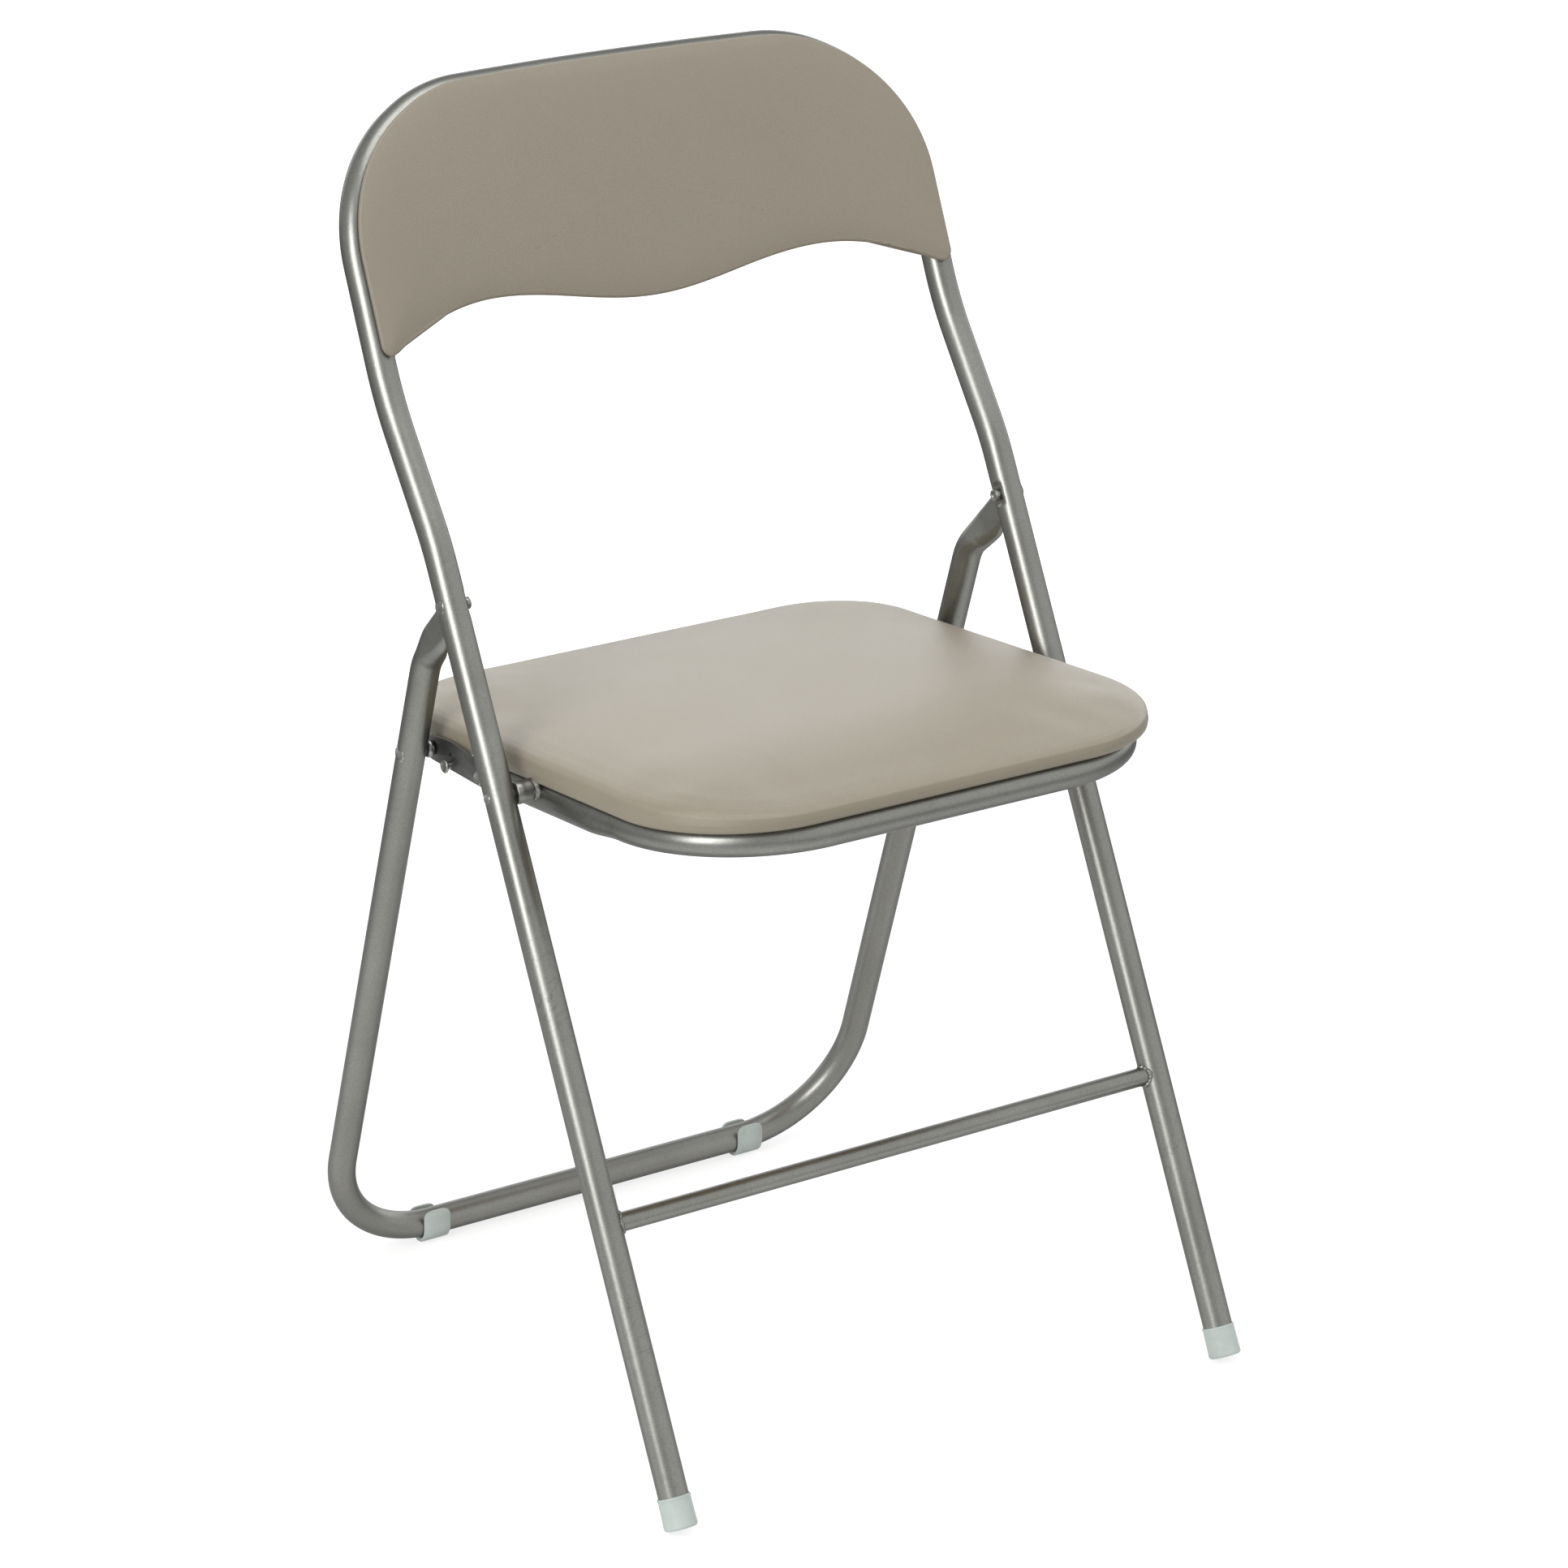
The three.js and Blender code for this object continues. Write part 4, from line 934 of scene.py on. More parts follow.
@dataclass
class Palette:
    """Every finish of the chair, made into materials when first asked for."""

    effects: Effects = field(default_factory=Effects)
    finishes: tuple[Finish, ...] = (
        SatinPaint("satin_silver_paint", "frame", (0.3, 0.3, 0.28), (0.265, 0.265, 0.245), 0.37),
        PlatedSteel("zinc_plated_steel", "fastener", (0.44, 0.44, 0.42), (0.3, 0.3, 0.285), 0.28),
        PlatedSteel("dark_link_steel", "link", (0.215, 0.215, 0.207), (0.15, 0.15, 0.145), 0.4),
        Vinyl("seat_vinyl", "seat_vinyl", (0.315, 0.277, 0.207), (0.285, 0.249, 0.185), 0.35),
        # The back's vinyl is the seat's vinyl made about a tenth darker: painted shade for the back's
        # upright face.
        Vinyl("back_vinyl", "back_vinyl", (0.282, 0.249, 0.193), (0.267, 0.235, 0.181), 0.44),
        MouldedPlastic("pale_grey_green_plastic", "feet", (0.5, 0.555, 0.525),
                       (0.43, 0.485, 0.455), 0.5),
        BareBoard("bare_plywood", "board", (0.44, 0.32, 0.19), (0.385, 0.27, 0.152), 0.75),
    )
    made: dict[str, Material] = field(default_factory=dict)

    def dress(self, obj: Object, slot: str, body: str, *nodes: str) -> Object:
        """Gives a piece its finish and its place in the frame.

        Args:
            obj: The piece.
            slot: The record's material slot.
            body: Body that the piece moves with.
            *nodes: Solids that the piece stands for.

        Returns:
            The piece.
        """
        if slot not in self.made:
            finish = next(f for f in self.finishes if f.slot == slot)
            self.made[slot] = finish.build(self.effects)
        obj.data.materials.clear()
        obj.data.materials.append(self.made[slot])
        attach(obj, body)
        if nodes:
            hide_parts(*nodes)
        LOG.info("%s: %d faces, body %s, finish %s", obj.name, len(obj.data.polygons), body, slot)
        return obj


# The chair's sizes that several pieces share
@dataclass(frozen=True)
class Layout:
    """Where the tubes, pivots and panels are, in millimetres and degrees."""

    tube_r: float = 9.5
    frame_half_w: float = 207.5
    foot_y: float = -224.8
    cap_bottom_z: float = 4.603
    leg_lean: float = 26.0
    lower_bend_z: float = 554.0
    shoulder_lean: float = 35.2
    upper_bend_z: float = 632.0
    back_lean: float = 22.8
    back_length: float = 180.5
    back_corner_r: float = 97.0
    back_arch: float = 4.1
    back_bow: float = 11.0
    back_bow_low: float = 22.0
    rear_r: float = 9.3
    rear_half_w: float = 204.5
    rear_rail_y: float = 221.2
    rear_rail_z: float = 12.8
    rear_lean: float = 18.5
    elbow_z: float = 473.0
    top_pivot_z: float = 520.0
    seat_pivot_z: float = 413.0
    rear_link_z: float = 406.7
    seat_link_y: float = 31.7
    seat_link_z: float = 404.0
    stop_y: float = 66.7
    stop_z: float = 402.0
    seat_tilt: float = 4.3
    seat_z: float = 416.5
    seat_out: float = 185.2
    seat_tube_out: float = 183.9
    seat_tube_in: float = 165.9
    gap: float = 0.3
    link_t: float = 2.0
    washer_t: float = 1.7

    def leg(self, z: float) -> Array:
        """Point on the front leg's axis at a height, in the middle plane."""
        return vec(0, self.foot_y + math.tan(math.radians(self.leg_lean)) * z, z)

    def rear(self, z: float) -> Array:
        """Point on the rear leg's axis at a height, in the middle plane."""
        drop = math.tan(math.radians(self.rear_lean)) * (z - self.rear_rail_z)
        return vec(0, self.rear_rail_y - drop, z)

    @property
    def leg_up(self) -> Array:
        """Direction up the front legs."""
        return upright(self.leg_lean)

    @property
    def lower_bend(self) -> Array:
        """Corner between the leg and the shoulder."""
        return self.leg(self.lower_bend_z)

    @property
    def upper_bend(self) -> Array:
        """Corner between the shoulder and the back."""
        run = math.tan(math.radians(self.shoulder_lean)) * (self.upper_bend_z - self.lower_bend_z)
        return self.lower_bend + vec(0, run, self.upper_bend_z - self.lower_bend_z)

    @property
    def back_up(self) -> Array:
        """Direction up the back."""
        return upright(self.back_lean)

    @property
    def back_front(self) -> Array:
        """Direction that the back faces."""
        return np.cross(X_AXIS, self.back_up)

    @property
    def seat_up(self) -> Array:
        """Direction square to the seat."""
        return upright(self.seat_tilt)

    @property
    def seat_back(self) -> Array:
        """Direction along the seat to the rear."""
        return np.cross(self.seat_up, X_AXIS)

    @property
    def seat_screws(self) -> dict[str, tuple[float, float, float]]:
        """Where the right-hand seat screws are: x, y along the seat and depth of their heads."""
        middle = (self.seat_tube_in + self.seat_tube_out) / 2
        return {"front": (80.0, -199.7, 18.9), "side": (middle, 4.0, 19.1)}

    @property
    def link_in(self) -> float:
        """Inner face of the links."""
        return self.seat_out + 2 * self.gap + self.washer_t

    @property
    def link_out(self) -> float:
        """Outer face of the links."""
        return self.link_in + self.link_t

    def bow(self, s: Array) -> Array:
        """Depth of the back's bow: a straight line from the lower value to the one at the top."""
        share = np.clip(s / self.back_length, 0, 1)
        return self.back_bow_low + (self.back_bow - self.back_bow_low) * share

    def on_back(self, x: Array, s: Array, n: Array) -> Array:
        """Points on the back: x across, s up along the uprights, n in front of their plane.

        The back is bowed: its depth behind the uprights is bow * (1 - (x / half width)^2).

        Args:
            x: Distances across.
            s: Distances up along the back.
            n: Distances in front.

        Returns:
            Points, with a last axis for the coordinates.
        """
        x, s, n = np.broadcast_arrays(np.asarray(x, float), s, n)
        depth = n - self.bow(s) * (1 - (x / self.frame_half_w) ** 2)
        points = self.upper_bend + s[..., None] * self.back_up + depth[..., None] * self.back_front
        points[..., 0] = x
        return points

    def arched(self, x: Array, s: Array, corner_s: float) -> Array:
        """Lifts a hoop's top: s plus arch * (1 - (x / reach)^2) wherever s is over its corners.

        Args:
            x: Distances across.
            s: Distances up along the back.
            corner_s: Where the hoop's corners begin.

        Returns:
            The lifted distances up along the back.
        """
        reach = self.frame_half_w - self.back_corner_r / 2
        lift = self.back_arch * np.clip(1 - (x / reach) ** 2, 0, 1)
        return s + lift * smoothstep(s, corner_s, corner_s + 20)

    def back_normal(self, x: float) -> Array:
        """Direction that the bowed back faces at a distance x from the middle."""
        return unit(at_x(self.back_front, -2 * self.back_bow * x / self.frame_half_w**2))

    def on_seat(self, x: Array, y: Array, h: Array) -> Array:
        """Points on the seat, from the middle of the cushion's underside.

        Args:
            x: Distances across.
            y: Distances along the seat to the rear.
            h: Heights above the underside.

        Returns:
            Points, with a last axis for the coordinates.
        """
        x, y, h = np.broadcast_arrays(np.asarray(x, float), y, h)
        points = vec(0, 0, self.seat_z) + y[..., None] * self.seat_back + h[..., None] * self.seat_up
        points[..., 0] = x
        return points

    @property
    def top_pivot(self) -> Array:
        """Pivot of the rear frame on the front frame."""
        return self.leg(self.top_pivot_z)

    @property
    def seat_pivot(self) -> Array:
        """Pivot of the seat on the front frame."""
        return self.leg(self.seat_pivot_z)

    @property
    def rear_link(self) -> Array:
        """Pivot of the link on the rear frame."""
        return self.rear(self.rear_link_z)

    @property
    def seat_link(self) -> Array:
        """Pivot of the link on the seat frame."""
        return vec(0, self.seat_link_y, self.seat_link_z)


LAYOUT = Layout()
RIVET_BORE_R = 3.1
RIVET_SEAT_DEPTH = 1.8
RIVET_SEAT_REACH = 5.5
CLEAR_OF_TUBE = 11.0


def rivet_seats(s: Array, t: Array, places: Sequence[float], tube_r: float) -> Array:
    """Flats pressed into the sides of a tube under its rivet heads.

    A flat brings the outer side in to R - depth across the chair, which is an offset of
    (R - depth) / (-cos t) - R, within the reach of each rivet.

    Args:
        s: Distances along the tube, as a column.
        t: Angles around it from the direction to the middle of the chair, as a row.
        places: Distances along the tube of the rivets.
        tube_r: The tube's radius R.

    Returns:
        Offsets outwards, none above zero.
    """
    sideways = np.maximum(-np.cos(t), 0.3)
    flat = np.minimum((tube_r - RIVET_SEAT_DEPTH) / sideways - tube_r, 0.0)
    near = sum(smoothstep(np.abs(s - d), RIVET_SEAT_REACH + 3, RIVET_SEAT_REACH) for d in places)
    return flat * np.clip(near, 0, 1)


def bore(point: Array, x0: float, x1: float, radius: float = RIVET_BORE_R) -> Object:
    """Cutter for a hole across the chair, from x0 to x1."""
    return cylinder(at_x(point, x0), at_x(point, x1), radius, 32)


def bores(pivots: Sequence[Array], near: float, far: float) -> list[Object]:
    """Cutters for holes at both sides of the chair, each from near to far of the middle."""
    return [bore(pivot, side * near, side * far) for side in SIDES.values() for pivot in pivots]


# Front frame
@dataclass
class FrontFrame:
    """The long bent tube that is both front legs and the back's hoop, with its crossbar."""

    palette: Palette
    wall: float = 1.0
    start_up: float = 3.3
    lower_bend_r: float = 180.0
    upper_bend_r: float = 200.0
    crossbar_z: float = 172.8
    crossbar_r: float = 6.0
    slot_half_w: float = 1.7
    slot_above: float = 13.0
    slot_below: float = 64.0
    notch_half_w: float = 7.4
    notch_in: float = 0.9
    notch_from: float = 8.0
    dent_z: float = 379.0
    dent_depth: float = 1.5
    dent_angle: float = 250.0
    weld_r: float = 1.5
    length: float = 0.0

    def up_leg(self, z: float) -> float:
        """Distance along the tube from its end to a height."""
        return (z - LAYOUT.cap_bottom_z) / LAYOUT.leg_up[2] - self.start_up

    @property
    def rivets(self) -> list[float]:
        """Distances along the tube from its end to the pivots."""
        return [self.up_leg(z) for z in (LAYOUT.top_pivot_z, LAYOUT.seat_pivot_z)]

    def path(self) -> Array:
        """Stations from one foot over the back's hoop to the other foot.

        Returns:
            Rows of x, y, z, half thickness and half width.
        """
        lay = LAYOUT
        start = lay.leg(lay.cap_bottom_z) + lay.leg_up * self.start_up
        side = np.vstack([
            start,
            fillet(start, lay.lower_bend, lay.upper_bend, self.lower_bend_r),
            fillet(lay.lower_bend, lay.upper_bend, lay.upper_bend + lay.back_up, self.upper_bend_r),
        ])
        bar_end = lay.frame_half_w - lay.back_corner_r
        corner = arc(bar_end, lay.back_length - lay.back_corner_r, lay.back_corner_r, 0, 90)
        bar = np.linspace(bar_end, 0, 24)[1:]
        hoop = np.vstack([corner, np.column_stack([bar, np.full(len(bar), lay.back_length)])])
        rise = lay.arched(hoop[:, 0], hoop[:, 1], lay.back_length - lay.back_corner_r)
        half = np.vstack([at_x(side, lay.frame_half_w), lay.on_back(hoop[:, 0], rise, 0.0)])
        flipped = half[:-1][::-1] * [-1, 1, 1]
        return stations(np.vstack([half, flipped]), lay.tube_r)

    def dent(self, s: Array, t: Array) -> Array:
        """Small teardrop dent with a raised lip on the left leg, and a nick above it.

        The offset is a narrow bell below the surface less a wider one above it.

        Args:
            s: Distances along the tube, as a column.
            t: Angles around it, as a row.

        Returns:
            Offsets outwards.
        """
        middle = self.length - self.up_leg(self.dent_z)
        around = np.angle(np.exp(1j * (t - math.radians(self.dent_angle)))) * LAYOUT.tube_r
        away = np.hypot((s - middle) / 1.35, around + 0.25 * (s - middle))
        pit = -self.dent_depth * np.exp(-((away / 1.5) ** 2))
        lip = 0.55 * np.exp(-(((away - 2.6) / 0.8) ** 2))
        nick = -0.5 * np.exp(-(((s - middle - 40) / 0.9) ** 2) - ((around + 6.0) / 1.4) ** 2)
        along = np.minimum(s, self.length - s)
        seats = rivet_seats(along, t, self.rivets, LAYOUT.tube_r)
        return pit + lip + nick + seats

    def slot(self, x: float, half_w: float, low: float, high: float) -> Object:
        """Cutter for the rear of a leg.

        Args:
            x: Middle of the slot across the chair.
            half_w: Half its width.
            low: Its lower end, along the leg from the top pivot.
            high: Its upper end.

        Returns:
            The cutter.
        """
        depth = LAYOUT.tube_r + 1
        rearwards = np.cross(LAYOUT.leg_up, X_AXIS)
        middle = at_x(LAYOUT.top_pivot + LAYOUT.leg_up * (low + high) / 2, x) + rearwards * depth / 2
        return block(middle, [X_AXIS, rearwards, LAYOUT.leg_up], [half_w, depth / 2, (high - low) / 2])

    def build_tube(self) -> None:
        """The bent tube, with a slot at each side for the rear frame's pressed end."""
        path = self.path()
        self.length = float(lengths_along(path)[-1])
        middle = self.length - self.up_leg(self.dent_z)
        dense = [(middle - 8, middle + 48)]
        dense += [(d - 11, d + 11) for d in self.rivets + [self.length - d for d in self.rivets]]
        path = densify(path, 5.0, dense)
        piece = tube("front_tube", path, LAYOUT.back_front, self.wall, relief=self.dent)
        near, far = LAYOUT.frame_half_w - CLEAR_OF_TUBE, LAYOUT.frame_half_w + CLEAR_OF_TUBE
        cutters = []
        for side in SIDES.values():
            x = side * LAYOUT.frame_half_w
            cutters.append(self.slot(x, self.slot_half_w, -self.notch_from - 1, self.slot_above))
            notch_x = x - side * self.notch_in
            cutters.append(self.slot(notch_x, self.notch_half_w, -self.slot_below, -self.notch_from))
            cutters.append(bore(LAYOUT.top_pivot, side * near, side * far))
            cutters.append(bore(LAYOUT.seat_pivot, side * near, side * far))
        carve(piece, cutters)
        self.palette.dress(piece, "frame", "front", "front_frame")

    def saddle(self, radius: float, t: Array, side: int, leg_r: float) -> Array:
        """Where a crossbar of that radius meets a leg: x = side * (W - sqrt(R^2 - (r sin t)^2)).

        Args:
            radius: The bar's radius r.
            t: Angles around the bar.
            side: -1 at the left, 1 at the right.
            leg_r: The leg's radius R.

        Returns:
            Points of the joint.
        """
        lay = LAYOUT
        square = np.cross(lay.leg_up, X_AXIS)
        centre = lay.leg(self.crossbar_z)
        x = side * (lay.frame_half_w - np.sqrt(leg_r**2 - (radius * np.sin(t)) ** 2))
        ring = radius * (np.cos(t)[:, None] * lay.leg_up + np.sin(t)[:, None] * square)
        points = centre + ring
        points[:, 0] = x
        return points

    def build_crossbar(self) -> None:
        """Round bar whose ends are shaped to the legs, and a rippled weld at each end."""
        t = np.arange(TUBE_SIDES) * 2 * math.pi / TUBE_SIDES
        leg_r = LAYOUT.tube_r - 0.15
        ends = [self.saddle(self.crossbar_r, t, side, leg_r) for side in (-1, 1)]
        share = np.linspace(0, 1, 60)[:, None, None]
        outer = ends[0] * (1 - share) + ends[1] * share
        bore_ends = [self.saddle(self.crossbar_r - 1, t, side, leg_r) for side in (-1, 1)]
        inner = bore_ends[1] * (1 - share) + bore_ends[0] * share
        bar = solid("crossbar_tube", np.concatenate([outer, inner]), Ends.LOOPED)
        self.palette.dress(bar, "frame", "front", "crossbar")
        for name, side in SIDES.items():
            self.build_weld(name, side)

    def build_weld(self, name: str, side: int) -> None:
        """Weld bead where the crossbar meets a leg.

        The bead's line follows the joint. Its radius is weld_r * (1 + ripples), where the ripples
        are two sines around the joint, and its point at angle p is the line plus that radius times
        (cos p away from the bar plus sin p along it).

        Args:
            name: The side's name.
            side: -1 at the left, 1 at the right.
        """
        count = 160
        t = np.arange(count) * 2 * math.pi / count
        line = self.saddle(self.crossbar_r + 0.2, t, side, LAYOUT.tube_r)
        square = np.cross(LAYOUT.leg_up, X_AXIS)
        away = np.cos(t)[:, None] * LAYOUT.leg_up + np.sin(t)[:, None] * square
        ripple = 1 + 0.13 * np.sin(17 * t + side) + 0.16 * np.sin(5 * t + 2.3 * side)
        p = np.arange(14) * 2 * math.pi / 14
        radius = (self.weld_r * ripple)[:, None, None]
        outwards = np.cos(p)[None, :, None] * away[:, None] * 0.85
        along = np.sin(p)[None, :, None] * X_AXIS * -side
        rings = line[:, None] + radius * (outwards + along)
        self.palette.dress(solid(f"crossbar_weld_{name}", rings, Ends.LOOPED, sharp=60), "frame", "front")

    def build(self) -> None:
        """Builds and dresses the whole sub-assembly."""
        self.build_tube()
        self.build_crossbar()


# Rear frame
@dataclass
class RearFrame:
    """Rear legs and floor rail in one bent tube, its upper ends pressed flat."""

    palette: Palette
    wall: float = 1.0
    corner_r: float = 80.0
    elbow_r: float = 38.0
    tongue_half_t: float = 1.2
    tongue_half_w: float = 11.4
    tongue_drop: float = 3.8
    tongue_tip_r: float = 8.0
    tongue_flat: float = 30.0
    tongue_blend: float = 27.0
    round_from: tuple[float, float] = (9.0, 50.0)
    facet_t: float = 1.6
    facet_edge: tuple[float, float] = (11.4, 11.0)
    facet_from: float = 12.0
    facet_slope: tuple[float, float] = (0.3, 1.25)
    facet_end: float = 53.0
    facet_rise: float = 2.0

    def tongue(self) -> tuple[Array, Array]:
        """Stations of the pressed end: its round tip, then the flat, which sags below the pivot.

        Returns:
            The stations, and the last point of the flat.
        """
        lay = LAYOUT
        elbow = lay.rear(lay.elbow_z)
        along = elbow - lay.top_pivot
        droop = -math.asin(self.tongue_drop / float(np.linalg.norm(along)))
        along = unit(along)
        square = np.cross(along, X_AXIS)
        along = along * math.cos(droop) + square * math.sin(droop)
        below = np.cross(along, X_AXIS)
        tip = -self.tongue_tip_r * np.sqrt(1 - np.linspace(0.22, 1, 14) ** 2)
        d = np.concatenate([tip, np.linspace(0, self.tongue_flat, 12)[1:]])
        share = np.clip(d / self.tongue_flat, 0, 1)[:, None]
        points = lay.top_pivot + d[:, None] * along + self.tongue_drop * share * below
        round_tip = np.sqrt(np.clip(self.tongue_tip_r**2 - d**2, 0, None))
        growing = self.tongue_tip_r + (self.tongue_half_w - self.tongue_tip_r) * share[:, 0]
        half_w = np.where(d < 0, round_tip, growing)
        sizes = np.stack([self.half_t(d), half_w], axis=1)
        return np.hstack([at_x(points, lay.frame_half_w), sizes]), points[-1]

    def half_t(self, d: Array) -> Array:
        """Half thickness of the leg at distances from its upper pivot: flat, then ever rounder."""
        share = np.interp(d, self.round_from, (0.0, 1.0))
        return self.tongue_half_t + (LAYOUT.rear_r - self.tongue_half_t) * share

    def path(self) -> Array:
        """Stations from one pressed end down the leg, along the floor and up the other leg.

        Returns:
            Rows of x, y, z, half thickness and half width.
        """
        lay = LAYOUT
        tongue, flat_end = self.tongue()
        rail_corner = lay.rear(lay.rear_rail_z)
        elbow = lay.rear(lay.elbow_z)
        bend = fillet(flat_end, elbow, rail_corner, self.elbow_r, 1.5)
        lead = np.linspace(0, 1, 8)[1:-1, None]
        joint = flat_end * (1 - lead) + bend[0] * lead
        leg = np.vstack([joint, bend, bend[-1] + (rail_corner - elbow) * 0.05])
        share = smoothstep(np.linalg.norm(leg - flat_end, axis=1), 0, self.tongue_blend)
        leg[:, 0] = lay.frame_half_w + (lay.rear_half_w - lay.frame_half_w) * share
        run = np.linalg.norm(leg[:, 1:] - flat_end[1:], axis=1)
        half_t = self.half_t(self.tongue_flat + run)
        half_w = self.tongue_half_w + (lay.rear_r - self.tongue_half_w) * share
        upper = np.hstack([leg, half_t[:, None], half_w[:, None]])
        corner = arc(lay.rear_half_w - self.corner_r, self.corner_r, self.corner_r, 0, -90)
        up = unit(elbow - rail_corner)
        low = rail_corner + corner[:, 1:] * up
        low[:, 0] = corner[:, 0]
        return mirrored(np.vstack([tongue, upper, stations(low, lay.rear_r)]))

    def pressed(self, path: Array, rings: Array, forward: Array, less: float) -> Array:
        """Presses a slanting facet into the front of both upper ends, up to a fold at the elbow.

        A point's distance w from the middle plane of its leg becomes w / (1 + (w/m)^6)^(1/6),
        where m = t + slope * max(0, edge - u) + rise * max(0, d - end), u is how far the point is
        in front of the tube's axis and d how far its station is from the end of the tube. Edge
        and slope change in a straight line from their first values to the ones at the fold.

        Args:
            path: Stations of the tube.
            rings: Rings round them.
            forward: Direction to the front of the legs.
            less: How much thinner this skin is than the outer one.

        Returns:
            The rings with the facet pressed in.
        """
        s = lengths_along(path)
        d = np.minimum(s, s[-1] - s)[:, None]
        centre = path[:, None, :3]
        u = (rings - centre) @ forward
        edge = np.interp(d, [self.facet_from, self.facet_end], self.facet_edge)
        slope = np.interp(d, [self.facet_from, self.facet_end], self.facet_slope)
        limit = self.facet_t - less + slope * np.maximum(0, edge - u)
        limit = limit + self.facet_rise * np.maximum(0, d - self.facet_end)
        sideways = rings[..., 0] - centre[..., 0]
        moved = rings.copy()
        moved[..., 0] = centre[..., 0] + sideways / (1 + np.abs(sideways / limit) ** 6) ** (1 / 6)
        return moved

    def build(self) -> None:
        """Builds and dresses the tube, with its rivet holes."""
        lay = LAYOUT
        path = self.path()
        total = float(lengths_along(path)[-1])
        straight = float(np.linalg.norm(lay.rear(lay.elbow_z) - lay.rear_link))
        link_at = self.tongue_tip_r + straight + float(
            np.linalg.norm(lay.rear(lay.elbow_z) - lay.top_pivot))
        dense = [(0, 80), (total - 80, total), (link_at - 12, link_at + 9),
                 (total - link_at - 9, total - link_at + 12)]
        path = densify(path, 5.0, dense)
        square = np.cross(unit(lay.rear(lay.elbow_z) - lay.rear(lay.rear_rail_z)), X_AXIS)

        def relief(s: Array, t: Array) -> Array:
            """Flats under the link's rivets."""
            places = [link_at - 1.5, total - link_at + 1.5]
            return rivet_seats(s, t, places, lay.rear_r)

        outer = sections(path, square, 0.0, 96, relief)
        inner = sections(path, square, self.wall, 96, relief)
        outer = self.pressed(path, outer, -square, 0.0)
        inner = self.pressed(path, inner, -square, self.wall)
        piece = solid("rear_tube", np.concatenate([outer, inner[::-1]]), Ends.LOOPED, sharp=30)
        pivots = (lay.top_pivot, lay.rear_link)
        near, far = lay.rear_half_w - CLEAR_OF_TUBE, lay.frame_half_w + CLEAR_OF_TUBE
        carve(piece, bores(pivots, near, far), sharp=30)
        self.palette.dress(piece, "frame", "rear", "rear_frame")


